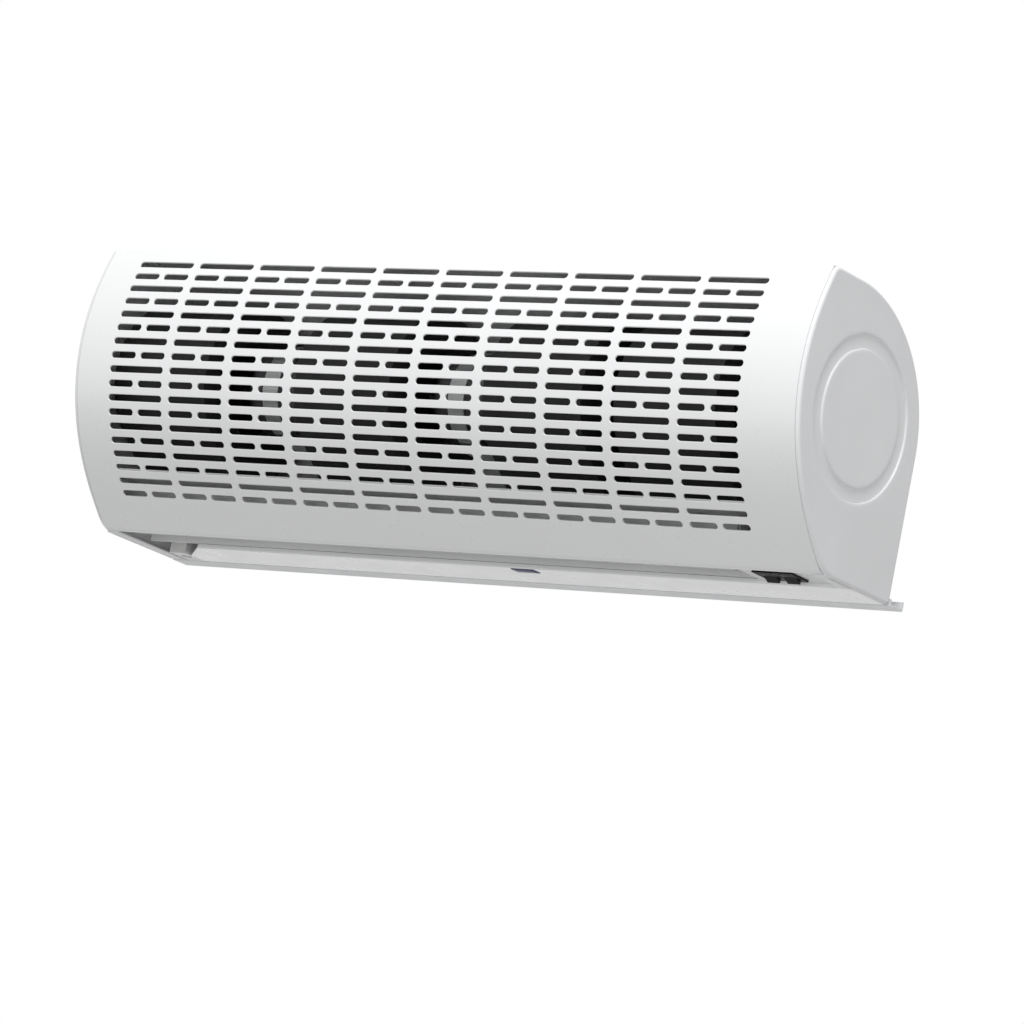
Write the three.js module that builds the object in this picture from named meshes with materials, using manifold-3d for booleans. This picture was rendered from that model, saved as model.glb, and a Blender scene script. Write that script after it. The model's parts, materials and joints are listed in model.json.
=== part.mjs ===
// Wall-mounted air curtain with a slotted front cover, four scroll fans on two motors and a
// turning outlet vane. Millimetres. X runs along the unit, Y towards the wall, Z up. The origin
// is on the wall, at the middle of the unit's length and height.
import * as THREE from "three";
import { mergeGeometries, mergeVertices } from "three/addons/utils/BufferGeometryUtils.js";
import Module from "manifold-3d";

const wasm = await Module();
wasm.setup();

// ---- Driving dimensions ------------------------------------------------------------------

// Casing
const LENGTH = 600;
const HEIGHT = 190;
const DEPTH = 144;
const WALL_GAP = 16; // wall to the casing's flat back
const SHEET = 1.2; // steel of the cover, shell and baffles
const CAP_WALL = 2.8; // moulded end caps
const FIT = 0.3; // gap between pieces that touch
const CUT_OVER = 1; // how far a cut runs past what it cuts
const BACK_ROUND_DEPTH = 96; // quarter ellipse between the top and the back
const BACK_ROUND_HEIGHT = 92;
const BACK_ROUND_STEPS = 12;

// Front curve: its bend is sharpest at mid height and eases towards both edges
const CURVE_LEAN = THREE.MathUtils.degToRad(11.2);
const CURVE_RADIUS_MIDDLE = 130;
const CURVE_RADIUS_EDGE = 233;
const CURVE_REACH = 84; // arc length from mid height at which the edge radius holds
const LIP_RISE = 0.8; // bottom of the cover above the bottom of the end caps
const LIP_RETURN = 3.6; // inward flange along the cover's bottom edge
const TOP_FLANGE = 22; // flange of the cover over the top
const CURVE_STEP = 0.5; // arc length between computed points

// Grille
const ROW_PITCH = 9.85;
const COLUMN_PITCH = 52.78;
const SLOT_LONG = 47.2;
const SLOT_SHORT = 21.6;
const SLOT_HEIGHT = 4.6;
const SLOT_NOSE = 1.9; // length of a slot's drawn-in end
const SLOT_CUT = 7; // depth of a slot's cut, through the bent sheet
const GRILLE_TOP_MARGIN = 14.4; // along the curve, top edge to the first row
const GRILLE_BOTTOM_MARGIN = 28;
const GRILLE_LEFT_MARGIN = 30.9;
const GRILLE_RIGHT_MARGIN = 40; // least width left plain at the right

// End caps
const RING_OUTER = 54;
const RING_INNER = 44;
const RING_SIDES = 30;
const RING_DEPTH = 1.4; // depth of the groove round the raised middle
const RING_SLOPE = 1.5357; // inward slope of the groove's inner flank
const CAP_RIM_DEPTH = 9;
const CAP_RIM_WALL = 1.6;
const CAP_RIM_GAP = 1.3; // what lies between the caps, to their rims

// Fans
const SCROLL_WIDTH = 80;
const SCROLL_WALL = 2;
const SCROLL_FRONT_CLEARANCE = 14.3;
const SCROLL_REAR_CLEARANCE = 12.7;
const SCROLL_GROWTH = 9; // spiral radius gained from the tongue to the throat
const SCROLL_STEPS = 14;
const TONGUE_ANGLE = 232; // degrees from the wall side, over the top to the front and below
const THROAT_ANGLE = -35;
const NECK_CLEARANCE = 2; // scroll neck inside the mouth's width, each side
const NECK_STRAIGHT = 3; // straight part of the neck above the baffle
const FAN_AXIS_RAISE = 10; // fan axis above mid height
const FAN_1_LEFT = 23; // left end of the casing to the first scroll
const MOTOR_BAY = 78; // scroll to scroll with a motor between them
const TWIN_BAY = 26; // scroll to scroll on one shaft, without a motor
const INLET_RADIUS = 31;
const ROUND_SIDES = 20; // of inlets and motors
const WHEEL_GAP = 5; // running gap, wheel rim to the tongue
const WHEEL_SIDE_GAP = 4; // running gap, wheel to the scroll's side walls
const WHEEL_RING = 2;
const BLADE_COUNT = 12;
const BLADE_DEPTH = 9;
const BLADE_THICKNESS = 1.2;
const BLADE_LEAD = 0.09; // radians that a blade's outer edge runs ahead of its inner edge
const BLADE_SETBACK = 1; // blade edges inside the rims' edges
const HUB_RADIUS = 8;
const HUB_LENGTH = 22;
const SHAFT_RADIUS = 4;
const SHAFT_END = 6; // shaft ends inside the outermost scroll's wall
const SHAFT_PAST_BEARING = 2;
const BAR_SIDES = 16; // of shafts, bosses and cord holes
const BEARING_CLEARANCE = 0.25;

// Motors
const MOTOR_RADIUS = 31;
const MOTOR_LENGTH = 46;
const MOTOR_BOSS_RADIUS = 11;
const MOTOR_BOSS_LENGTH = 5;
const MOTOR_CHAMFER = 4;
const SADDLE_WIDTH = 26;
const SADDLE_WALL = 2.5;
const BEARING_BLOCK_WIDTH = 10;
const BEARING_BLOCK_RADIUS = 12;
const BEARING_FROM_SCROLL = 8; // last scroll to the outboard bearing
const BEARING_WEB = 3; // thickness of the web that carries the bearing
const BEARING_WEB_SETBACK = 1; // web's edges inside the bearing block
const BEARING_FOOT_REACH = 6; // foot above and below the bearing block

// Outlet
const MOUTH_WIDTH = 34; // from the lip to the base panel
const BAFFLE_LEVEL = 37; // baffle's top face above the casing's bottom
const BAFFLE_FLANGE = 6;
const BAFFLE_LEAN = 3.4; // the flange follows the cover's slope
const NECK_DEPTH = 8; // how far the scroll necks reach below the baffle
const ELECTRIC_BAY = 74; // width closed off by the switch plate at the right
const VANE_LEVEL = 15; // vane axis above the casing's bottom
const VANE_CHORD = 22;
const VANE_THICKNESS = 1.6;
const VANE_PIN_RADIUS = 2;
const VANE_PIN_LENGTH = 5;
const VANE_PIN_ROOT = 2; // pin inside the vane
const VANE_END_GAP = 1; // vane to its pivot blocks
const PIN_SIDES = 12;
const PIVOT_BLOCK = 7;
const BASE_EDGE_HEIGHT = 3; // upturned front edge of the base panel
const CORD_BAY = 30; // left end of the base panel left open for the supply cord

// Switches and electrics
const SWITCH_BEZEL_WIDTH = 15;
const SWITCH_BEZEL_LENGTH = 21;
const SWITCH_BEZEL_THICKNESS = 1.5;
const SWITCH_BODY_WIDTH = 13;
const SWITCH_BODY_LENGTH = 19;
const SWITCH_BODY_DEPTH = 14;
const SWITCH_PITCH = 15.6;
const SWITCH_FROM_RIGHT = 47; // casing end to the middle of the pair
const SWITCH_RECESS = 2.6; // switch plate above the casing's bottom
const ROCKER_WIDTH = 9.6;
const ROCKER_LENGTH = 14;
const ROCKER_THROW = THREE.MathUtils.degToRad(10);
const ROCKER_CREST = 1.6; // how far a rocker's ends stand out at mid throw
const ROCKER_SWING_ROOM = 1.3; // pocket past each end of the rocker
const ROCKER_BACK_ROOM = 1.6; // pocket above the rocker's back
const ROCKER_BACK = 1.6; // rocker's back above its pivot
const ROCKER_PIN_RADIUS = 1;
const ROCKER_PIN_REACH = 0.9; // pin past the rocker's side, into the body
const PIVOT_RISE = 2; // rocker pivot above the switch plate's underside
const ROCKER_TAPER = 1; // rocker's flank in from its end
const ROCKER_PIN_SIDES = 10;
const INDICATOR_LENGTH = 19;
const INDICATOR_WIDTH = 9;
const INDICATOR_X = 34; // off the middle of the length
const INDICATOR_FROM_EDGE = 2.2; // base panel's front edge to the indicator
const INDICATOR_STAND = 0.4; // indicator below the base panel
const INDICATOR_THICKNESS = 2;
const CAPACITOR_LENGTH = 46;
const CAPACITOR_WIDTH = 18;
const CAPACITOR_HEIGHT = 26;
const CAPACITOR_SOFT = 3; // bevel along the top
const ELECTRICS_BACK = 20; // rear shell to the middle of the first capacitor
const ELECTRICS_INSET = 8; // switch plate's end to the capacitors
const TERMINAL_LENGTH = 36;
const TERMINAL_WIDTH = 20;
const TERMINAL_HEIGHT = 16;
const TERMINAL_WAYS = 4;
const TERMINAL_RISE = 12; // terminal block above the capacitors
const TERMINAL_BARRIER = 2; // wall between two ways
const TERMINAL_RIM = 3; // wall round the terminal block's screw pockets
const TERMINAL_POCKET = 5;
const ELECTRICS_GAP = 4; // between the electric pieces
const CLAMP_LENGTH = 14;
const CLAMP_WIDTH = 22;
const CLAMP_HEIGHT = 12;
const CORD_HOLE_RADIUS = 4;

// Wall plate
const PLATE_SHEET = 1.5;
const PLATE_SIDE_INSET = 25; // plate's main panel short of the casing's ends
const PLATE_TOP = 62; // above mid height
const RAIL_HEIGHT = 4.6; // channel along the plate's bottom edge
const WALL_HOLE_RADIUS = 2.75;
const WALL_HOLE_SPACING = 400;
const WALL_HOLE_RISE = 100; // lower holes to upper holes
const WALL_HOLE_TOP = 22; // plate's top edge to the upper holes
const WALL_HOLE_SIDES = 24;

// ---- Places that follow from them --------------------------------------------------------

const BACK = -WALL_GAP;
const FRONT = BACK - DEPTH;
const TOP = HEIGHT / 2;
const BOTTOM = -HEIGHT / 2;
const HALF = LENGTH / 2;
const SHELL_HALF = HALF - CAP_WALL - FIT; // ends of what lies between the cap plates
const LIP_Z = BOTTOM + LIP_RISE;
const BAFFLE_Z = BOTTOM + BAFFLE_LEVEL;
const NECK_Z = BAFFLE_Z - NECK_DEPTH;
const SCROLL_RADIUS = (DEPTH - SCROLL_FRONT_CLEARANCE - SCROLL_REAR_CLEARANCE) / 2;
const TONGUE_RADIUS = SCROLL_RADIUS - SCROLL_GROWTH / 2;
const FAN_Y = BACK - SCROLL_REAR_CLEARANCE - SCROLL_RADIUS;
const FAN_Z = FAN_AXIS_RAISE;
const WHEEL_RADIUS = TONGUE_RADIUS - SCROLL_WALL - WHEEL_GAP;
const SWITCH_Z = BOTTOM + SWITCH_RECESS; // underside of the switch plate
const VANE_Z = BOTTOM + VANE_LEVEL;
const ELECTRIC_X = HALF - ELECTRIC_BAY;
const FAN_LEFTS = [-HALF + FAN_1_LEFT];
FAN_LEFTS.push(FAN_LEFTS[0] + SCROLL_WIDTH + MOTOR_BAY);
FAN_LEFTS.push(FAN_LEFTS[1] + SCROLL_WIDTH + MOTOR_BAY);
FAN_LEFTS.push(FAN_LEFTS[2] + SCROLL_WIDTH + TWIN_BAY);
const MOTOR_MIDDLES = [FAN_LEFTS[1] - MOTOR_BAY / 2, FAN_LEFTS[2] - MOTOR_BAY / 2];
const BEARING_X = FAN_LEFTS[3] + SCROLL_WIDTH + BEARING_FROM_SCROLL; // its left face
const INNER_HALF = HALF - CAP_WALL - CAP_RIM_DEPTH - CAP_RIM_GAP;
const INNER_REAR = BACK - SHEET - FIT; // of what stands against the rear shell
const VANE_LEFT = -HALF + CAP_WALL + FIT + PIVOT_BLOCK + VANE_END_GAP;
const VANE_RIGHT = ELECTRIC_X - FIT - PIVOT_BLOCK - VANE_END_GAP;
const CORD_X = -HALF + CORD_BAY - FIT - CLAMP_LENGTH / 2;
const CORD_Y = INNER_REAR - CLAMP_WIDTH / 2;
const SWITCH_XS = [-0.5, 0.5].map((n) => HALF - SWITCH_FROM_RIGHT + n * SWITCH_PITCH);
const ROCKER_Z = SWITCH_Z + PIVOT_RISE;

// ---- Materials ---------------------------------------------------------------------------

const finish = (color, roughness, metalness) =>
  new THREE.MeshStandardMaterial({ color, roughness, metalness });
const WHITE_STEEL = [0xf2f3f4, 0.35, 0.1];
const WHITE_PLASTIC = [0xdddee0, 0.45, 0];
const INNER_STEEL = [0xc4c6c8, 0.55, 0.1];
const BLACK_PLASTIC = [0x141416, 0.6, 0];
const MOTOR_STEEL = [0x77797c, 0.45, 0.7];
const BRIGHT_STEEL = [0xb9bbbd, 0.3, 0.9];
const NAVY_LENS = [0x101a3a, 0.2, 0];

// ---- Shape helpers -----------------------------------------------------------------------

// A closed geometry as a solid that can be cut and joined.
function solid(geometry) {
  const bare = geometry.index ? geometry.toNonIndexed() : geometry.clone();
  bare.deleteAttribute("normal");
  bare.deleteAttribute("uv");
  const merged = mergeVertices(bare, 1e-4);
  return new wasm.Manifold(
    new wasm.Mesh({
      numProp: 3,
      vertProperties: new Float32Array(merged.attributes.position.array),
      triVerts: new Uint32Array(merged.index.array),
    }),
  );
}

// A solid back as a geometry.
function geometryOf(shape) {
  const mesh = shape.getMesh();
  const geometry = new THREE.BufferGeometry();
  const positions = new Float32Array(mesh.numVert * 3);
  for (let i = 0; i < mesh.numVert; i++) {
    const from = i * mesh.numProp;
    positions.set(mesh.vertProperties.subarray(from, from + 3), i * 3);
  }
  geometry.setAttribute("position", new THREE.BufferAttribute(positions, 3));
  geometry.setIndex(new THREE.BufferAttribute(new Uint32Array(mesh.triVerts), 1));
  return geometry;
}

// A box between two corners.
function box(x0, x1, y0, y1, z0, z1) {
  const geometry = new THREE.BoxGeometry(x1 - x0, y1 - y0, z1 - z0);
  geometry.translate((x0 + x1) / 2, (y0 + y1) / 2, (z0 + z1) / 2);
  return solid(geometry);
}

// An outline of [y, z] points, swept along X.
function alongX(points, x0, x1, holes = []) {
  const outline = new THREE.Shape(points.map(([y, z]) => new THREE.Vector2(y, z)));
  holes.forEach((hole) => {
    outline.holes.push(new THREE.Path(hole.map(([y, z]) => new THREE.Vector2(y, z))));
  });
  const geometry = new THREE.ExtrudeGeometry(outline, { depth: x1 - x0, bevelEnabled: false });
  const turn = new THREE.Matrix4().makeBasis(
    new THREE.Vector3(0, 1, 0),
    new THREE.Vector3(0, 0, 1),
    new THREE.Vector3(1, 0, 0),
  );
  geometry.applyMatrix4(turn);
  geometry.translate(x0, 0, 0);
  return solid(geometry);
}

// A round bar along X.
function barX(radius, x0, x1, y, z, sides) {
  const geometry = new THREE.CylinderGeometry(radius, radius, x1 - x0, sides);
  geometry.rotateZ(-Math.PI / 2);
  geometry.translate((x0 + x1) / 2, y, z);
  return solid(geometry);
}

// A round bar along Y.
function barY(radius, y0, y1, x, z, sides) {
  const geometry = new THREE.CylinderGeometry(radius, radius, y1 - y0, sides);
  geometry.translate(x, (y0 + y1) / 2, z);
  return solid(geometry);
}

// A round bar along Z.
function barZ(radius, z0, z1, x, y, sides) {
  const geometry = new THREE.CylinderGeometry(radius, radius, z1 - z0, sides);
  geometry.rotateX(Math.PI / 2);
  geometry.translate(x, y, (z0 + z1) / 2);
  return solid(geometry);
}

// A closed outline moved inwards, each corner along its mitre. Counter-clockwise in (y, z).
function inset(points, distance) {
  const count = points.length;
  return points.map(([y, z], i) => {
    const [py, pz] = points[(i + count - 1) % count];
    const [ny, nz] = points[(i + 1) % count];
    const before = new THREE.Vector2(y - py, z - pz).normalize();
    const after = new THREE.Vector2(ny - y, nz - z).normalize();
    const mitre = new THREE.Vector2(-before.y - after.y, before.x + after.x).normalize();
    const reach = distance / Math.max(0.3, mitre.dot(new THREE.Vector2(-after.y, after.x)));
    return [y + mitre.x * reach, z + mitre.y * reach];
  });
}

// An open line of [y, z] points given a thickness to its left.
function strip(points, thickness) {
  const last = points.length - 1;
  const offset = points.map(([y, z], i) => {
    const [py, pz] = points[Math.max(0, i - 1)];
    const [ny, nz] = points[Math.min(last, i + 1)];
    const before = new THREE.Vector2(y - py, z - pz);
    const after = new THREE.Vector2(ny - y, nz - z);
    const into = (i === 0 ? after : before).clone().normalize();
    const out = (i === last ? before : after).clone().normalize();
    const mitre = new THREE.Vector2(-into.y - out.y, into.x + out.x).normalize();
    const reach = thickness / mitre.dot(new THREE.Vector2(-out.y, out.x));
    return [y + mitre.x * reach, z + mitre.y * reach];
  });
  return [...points, ...offset.reverse()];
}

const part = new THREE.Group();
part.name = "air_curtain";

// Adds a solid to the part as a named mesh.
function add(name, shape, look) {
  const mesh = new THREE.Mesh(geometryOf(shape), finish(...look));
  mesh.name = name;
  part.add(mesh);
}

// ---- Casing outline ----------------------------------------------------------------------

// Front curve from the top edge down to the lip, as { s, y, z } at every CURVE_STEP of arc.
// Its heading, from straight down towards the wall, grows with arc length and eases off.
function frontCurve() {
  const bend = 1 / CURVE_RADIUS_MIDDLE;
  const ease = (bend - 1 / CURVE_RADIUS_EDGE) / (3 * CURVE_REACH ** 2);
  const heading = (s) => CURVE_LEAN + bend * s - ease * s ** 3;
  const walk = (direction, stop) => {
    const points = [];
    let [s, y, z] = [0, 0, 0];
    while (!stop(z)) {
      const middle = s + (direction * CURVE_STEP) / 2;
      s += direction * CURVE_STEP;
      y += direction * CURVE_STEP * Math.sin(heading(middle));
      z -= direction * CURVE_STEP * Math.cos(heading(middle));
      points.push({ s, y, z });
    }
    return points;
  };
  const up = walk(-1, (z) => z >= TOP);
  const down = walk(1, (z) => z <= LIP_Z);
  const line = [...up.reverse(), { s: 0, y: 0, z: 0 }, ...down];
  const foremost = Math.min(...line.map((point) => point.y));
  line[0].z = TOP;
  line[line.length - 1].z = LIP_Z;
  return line.map(({ s, y, z }) => ({ s, y: y - foremost + FRONT, z }));
}

const CURVE = frontCurve();
const CURVE_TOP = CURVE[0];
const CURVE_END = CURVE[CURVE.length - 1];
const ROWS_FIT = CURVE_END.s - CURVE_TOP.s - GRILLE_TOP_MARGIN - GRILLE_BOTTOM_MARGIN;
const ROW_COUNT = Math.floor(ROWS_FIT / ROW_PITCH) + 1;
const MOUTH_FRONT_Y = CURVE_END.y + LIP_RETURN;
const MOUTH_REAR_Y = MOUTH_FRONT_Y + MOUTH_WIDTH;
const MOUTH_MIDDLE_Y = (MOUTH_FRONT_Y + MOUTH_REAR_Y) / 2;
const INDICATOR_Y = MOUTH_REAR_Y + INDICATOR_FROM_EDGE + INDICATOR_WIDTH / 2;

// The point of the front curve at an arc length.
function onCurve(s) {
  const after = CURVE.findIndex((point) => point.s >= s);
  const b = CURVE[Math.max(1, after)];
  const a = CURVE[Math.max(1, after) - 1];
  const t = (s - a.s) / (b.s - a.s);
  return [a.y + (b.y - a.y) * t, a.z + (b.z - a.z) * t];
}

// Arc length of a row's middle; half rows are the borders between rows.
const rowAt = (row) => CURVE_TOP.s + GRILLE_TOP_MARGIN + row * ROW_PITCH;

// Front curve as the cover's flats: one per row of slots, and plain ones above and below.
function frontFlats() {
  const flats = [[CURVE_TOP.y, CURVE_TOP.z]];
  for (let row = 0; row <= ROW_COUNT; row++) flats.push(onCurve(rowAt(row - 0.5)));
  const last = rowAt(ROW_COUNT - 0.5);
  flats.push(onCurve((last + CURVE_END.s) / 2));
  flats.push([CURVE_END.y, CURVE_END.z]);
  return flats;
}

// Rounded corner between the top and the back, from the back upwards.
function backRound(steps) {
  const points = [];
  for (let i = 0; i <= steps; i++) {
    const angle = ((Math.PI / 2) * i) / steps;
    points.push([
      BACK - BACK_ROUND_DEPTH * (1 - Math.cos(angle)),
      TOP - BACK_ROUND_HEIGHT * (1 - Math.sin(angle)),
    ]);
  }
  return points;
}

// Whole casing seen from the right, counter-clockwise from the bottom rear corner.
function casingOutline() {
  const lip = [MOUTH_FRONT_Y + SHEET, BOTTOM];
  return [[BACK, BOTTOM], ...backRound(BACK_ROUND_STEPS), ...frontFlats(), lip];
}

const CASING = casingOutline();
const INSIDE = alongX(inset(CASING, SHEET + FIT), -SHELL_HALF, SHELL_HALF); // within the sheets

// ---- Front cover -------------------------------------------------------------------------

// A slot's outline in its flat: six points, with both ends drawn in.
function slotShape(middle, length) {
  const half = length / 2;
  const rise = SLOT_HEIGHT / 2;
  return new THREE.Shape(
    [
      [-half, 0],
      [-half + SLOT_NOSE, -rise],
      [half - SLOT_NOSE, -rise],
      [half, 0],
      [half - SLOT_NOSE, rise],
      [-half + SLOT_NOSE, rise],
    ].map(([x, y]) => new THREE.Vector2(middle + x, y)),
  );
}

// Middles and length of the slots of one row: long ones, or two short ones in each pitch.
function rowSlots(row) {
  const first = -HALF + GRILLE_LEFT_MARGIN + SLOT_LONG / 2;
  const room = HALF - GRILLE_RIGHT_MARGIN - SLOT_LONG / 2 - first;
  const columns = Math.floor(room / COLUMN_PITCH) + 1;
  const middles = Array.from({ length: columns }, (_, i) => first + i * COLUMN_PITCH);
  if (row % 2 === 0) return { length: SLOT_LONG, middles };
  const shift = (SLOT_LONG - SLOT_SHORT) / 2;
  return { length: SLOT_SHORT, middles: middles.flatMap((x) => [x - shift, x + shift]) };
}

// All the cutters of one row, standing square to that row's flat.
function rowCutters(row) {
  const above = new THREE.Vector2(...onCurve(rowAt(row - 0.5)));
  const below = new THREE.Vector2(...onCurve(rowAt(row + 0.5)));
  const middle = above.clone().add(below).multiplyScalar(0.5);
  const along = above.clone().sub(below).normalize();
  const { length, middles } = rowSlots(row);
  const slots = middles.map((x) => {
    const options = { depth: SLOT_CUT, bevelEnabled: false };
    return new THREE.ExtrudeGeometry(slotShape(x, length), options);
  });
  const stand = new THREE.Matrix4().makeBasis(
    new THREE.Vector3(1, 0, 0),
    new THREE.Vector3(0, along.x, along.y),
    new THREE.Vector3(0, -along.y, along.x),
  );
  const cutters = mergeGeometries(slots.map((slot) => slot.translate(0, 0, -SLOT_CUT / 2)));
  cutters.applyMatrix4(stand);
  cutters.translate(0, middle.x, middle.y);
  return solid(cutters);
}

// Bent sheet with a flange over the top and a return along the lip, pierced row by row.
function frontCover() {
  const flange = [CURVE_TOP.y + TOP_FLANGE, TOP];
  const lip = [MOUTH_FRONT_Y, LIP_Z];
  const line = [flange, ...frontFlats(), lip];
  let cover = alongX(strip(line, SHEET), -SHELL_HALF, SHELL_HALF);
  for (let row = 0; row < ROW_COUNT; row++) cover = cover.subtract(rowCutters(row));
  return cover;
}

// ---- Rear shell, end caps and base -------------------------------------------------------

// Bent sheet from behind the cover's flange, over the back round and down to the bottom.
function rearShell() {
  const line = [[BACK, BOTTOM + SHEET + FIT], ...backRound(BACK_ROUND_STEPS)];
  line.push([CURVE_TOP.y + TOP_FLANGE + FIT, TOP]);
  return alongX(strip(line, SHEET), -SHELL_HALF, SHELL_HALF);
}

// Moulded cap: a plate with a grooved ring, and a rim that the sheets slide over.
function endCap(side) {
  const outer = side * HALF;
  const inner = side * (HALF - CAP_WALL);
  const rim = side * (HALF - CAP_WALL - CAP_RIM_DEPTH);
  const span = (a, b) => [Math.min(a, b), Math.max(a, b)];
  let cap = alongX(CASING, ...span(outer, inner));
  const rimOutline = inset(CASING, SHEET + FIT);
  const rimHole = inset(rimOutline, CAP_RIM_WALL).reverse();
  cap = cap.add(alongX(rimOutline, ...span(inner + (side * CAP_WALL) / 2, rim), [rimHole]));
  // The mouth, base panel and cord bay need the rim's bottom run away.
  const [x0, x1] = span(inner, rim - side * CUT_OVER);
  const low = BOTTOM - CUT_OVER;
  cap = cap.subtract(box(x0, x1, MOUTH_FRONT_Y - 2 * LIP_RETURN, BACK - SHEET, low, BAFFLE_Z));
  return cap.subtract(ringX(ringGroove(outer, side), FAN_Y, FAN_Z, RING_SIDES));
}

// Section of the groove in a cap's outer face.
function ringGroove(outer, side) {
  const floor = outer - side * RING_DEPTH;
  const over = outer + side * CUT_OVER;
  return [
    [RING_INNER + RING_SLOPE, floor],
    [RING_OUTER, floor],
    [RING_OUTER + CUT_OVER, over],
    [RING_INNER, over],
  ];
}

// A ring about an axis along X, from a closed profile of [radius, x] points.
function ringX(profile, y, z, sides) {
  const points = profile.map(([radius, x]) => new THREE.Vector2(radius, x));
  const area = THREE.ShapeUtils.area(points);
  if (area < 0) points.reverse();
  points.push(points[0].clone());
  const geometry = new THREE.LatheGeometry(points, sides);
  geometry.rotateZ(-Math.PI / 2);
  geometry.translate(0, y, z);
  return solid(geometry);
}

// ---- Fans --------------------------------------------------------------------------------

// Scroll seen from the right: a spiral about the fan axis that opens into a neck below.
function scrollOutline() {
  const points = [];
  for (let i = 0; i <= SCROLL_STEPS; i++) {
    const angle = THROAT_ANGLE + ((TONGUE_ANGLE - THROAT_ANGLE) * i) / SCROLL_STEPS;
    const radius = TONGUE_RADIUS + SCROLL_GROWTH * (1 - i / SCROLL_STEPS);
    const turn = THREE.MathUtils.degToRad(angle);
    points.push([FAN_Y + radius * Math.cos(turn), FAN_Z + radius * Math.sin(turn)]);
  }
  const neckFront = MOUTH_FRONT_Y + NECK_CLEARANCE;
  const neckRear = MOUTH_REAR_Y - NECK_CLEARANCE;
  points.push([neckFront, BAFFLE_Z + NECK_STRAIGHT], [neckFront, NECK_Z]);
  points.push([neckRear, NECK_Z], [neckRear, BAFFLE_Z + NECK_STRAIGHT]);
  return points;
}

// Scroll housing: spiral shell, two side walls with round inlets, open at the neck.
function scrollHousing(left) {
  const right = left + SCROLL_WIDTH;
  const outline = scrollOutline();
  const hollow = inset(outline, SCROLL_WALL).map(([y, z]) => [
    y,
    z < NECK_Z + 2 * SCROLL_WALL ? NECK_Z - CUT_OVER : z,
  ]);
  const [x0, x1] = [left - CUT_OVER, right + CUT_OVER];
  const inlet = barX(INLET_RADIUS, x0, x1, FAN_Y, FAN_Z, ROUND_SIDES);
  return alongX(outline, left, right)
    .subtract(alongX(hollow, left + SCROLL_WALL, right - SCROLL_WALL))
    .subtract(inlet);
}

// Blower wheel: two rims and a middle disc with hub, joined by forward-leaning blades.
function fanWheel(left) {
  const margin = SCROLL_WALL + WHEEL_SIDE_GAP;
  const [x0, x1] = [left + margin, left + SCROLL_WIDTH - margin];
  const middle = (x0 + x1) / 2;
  const inner = WHEEL_RADIUS - BLADE_DEPTH;
  const bore = SHAFT_RADIUS + FIT;
  const rim = (a, b) => [
    [inner, a],
    [WHEEL_RADIUS, a],
    [WHEEL_RADIUS, b],
    [inner, b],
  ];
  const disc = [
    [bore, middle - HUB_LENGTH / 2],
    [HUB_RADIUS, middle - HUB_LENGTH / 2],
    [HUB_RADIUS, middle - WHEEL_RING / 2],
    [WHEEL_RADIUS, middle - WHEEL_RING / 2],
    [WHEEL_RADIUS, middle + WHEEL_RING / 2],
    [HUB_RADIUS, middle + WHEEL_RING / 2],
    [HUB_RADIUS, middle + HUB_LENGTH / 2],
    [bore, middle + HUB_LENGTH / 2],
  ];
  let wheel = ringX(disc, FAN_Y, FAN_Z, BLADE_COUNT);
  wheel = wheel.add(ringX(rim(x0, x0 + WHEEL_RING), FAN_Y, FAN_Z, BLADE_COUNT));
  wheel = wheel.add(ringX(rim(x1 - WHEEL_RING, x1), FAN_Y, FAN_Z, BLADE_COUNT));
  for (let i = 0; i < BLADE_COUNT; i++) {
    const turn = ((i + 0.5) / BLADE_COUNT) * 2 * Math.PI;
    wheel = wheel.add(blade(turn, inner, x0 + WHEEL_RING / 2, x1 - WHEEL_RING / 2));
  }
  return wheel;
}

// One blade: a thin plate whose outer edge leads its inner edge.
function blade(turn, inner, x0, x1) {
  const at = (radius, angle) => [
    FAN_Y + radius * Math.cos(angle),
    FAN_Z + radius * Math.sin(angle),
  ];
  const low = inner + BLADE_SETBACK;
  const high = WHEEL_RADIUS - BLADE_SETBACK;
  const lean = turn + BLADE_LEAD;
  const outline = [
    at(low, turn - BLADE_THICKNESS / 2 / low),
    at(high, lean - BLADE_THICKNESS / 2 / high),
    at(high, lean + BLADE_THICKNESS / 2 / high),
    at(low, turn + BLADE_THICKNESS / 2 / low),
  ];
  return alongX(outline, x0, x1);
}

// Left motor's shaft: through the motor into the wheel on either side.
function leftShaft() {
  const from = FAN_LEFTS[0] + SHAFT_END;
  const to = FAN_LEFTS[1] + SCROLL_WIDTH - SHAFT_END;
  return barX(SHAFT_RADIUS, from, to, FAN_Y, FAN_Z, BAR_SIDES);
}

// Right motor's shaft: through two wheels to the outboard bearing.
function rightShaft() {
  const from = MOTOR_MIDDLES[1] - MOTOR_LENGTH / 2 - MOTOR_BOSS_LENGTH;
  const to = BEARING_X + BEARING_BLOCK_WIDTH + SHAFT_PAST_BEARING;
  return barX(SHAFT_RADIUS, from, to, FAN_Y, FAN_Z, BAR_SIDES);
}

// Motor can with chamfered ends, bearing bosses and a bore for its shaft.
function motor(middle) {
  const half = MOTOR_LENGTH / 2;
  const bore = SHAFT_RADIUS + BEARING_CLEARANCE;
  const side = [
    [bore, half + MOTOR_BOSS_LENGTH],
    [MOTOR_BOSS_RADIUS, half + MOTOR_BOSS_LENGTH],
    [MOTOR_BOSS_RADIUS, half],
    [MOTOR_RADIUS - MOTOR_CHAMFER, half],
    [MOTOR_RADIUS, half - MOTOR_CHAMFER],
  ];
  const mirrored = side.map(([radius, x]) => [radius, -x]).reverse();
  const profile = [...side, ...mirrored].map(([radius, x]) => [radius, middle + x]);
  return ringX(profile, FAN_Y, FAN_Z, ROUND_SIDES);
}

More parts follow.
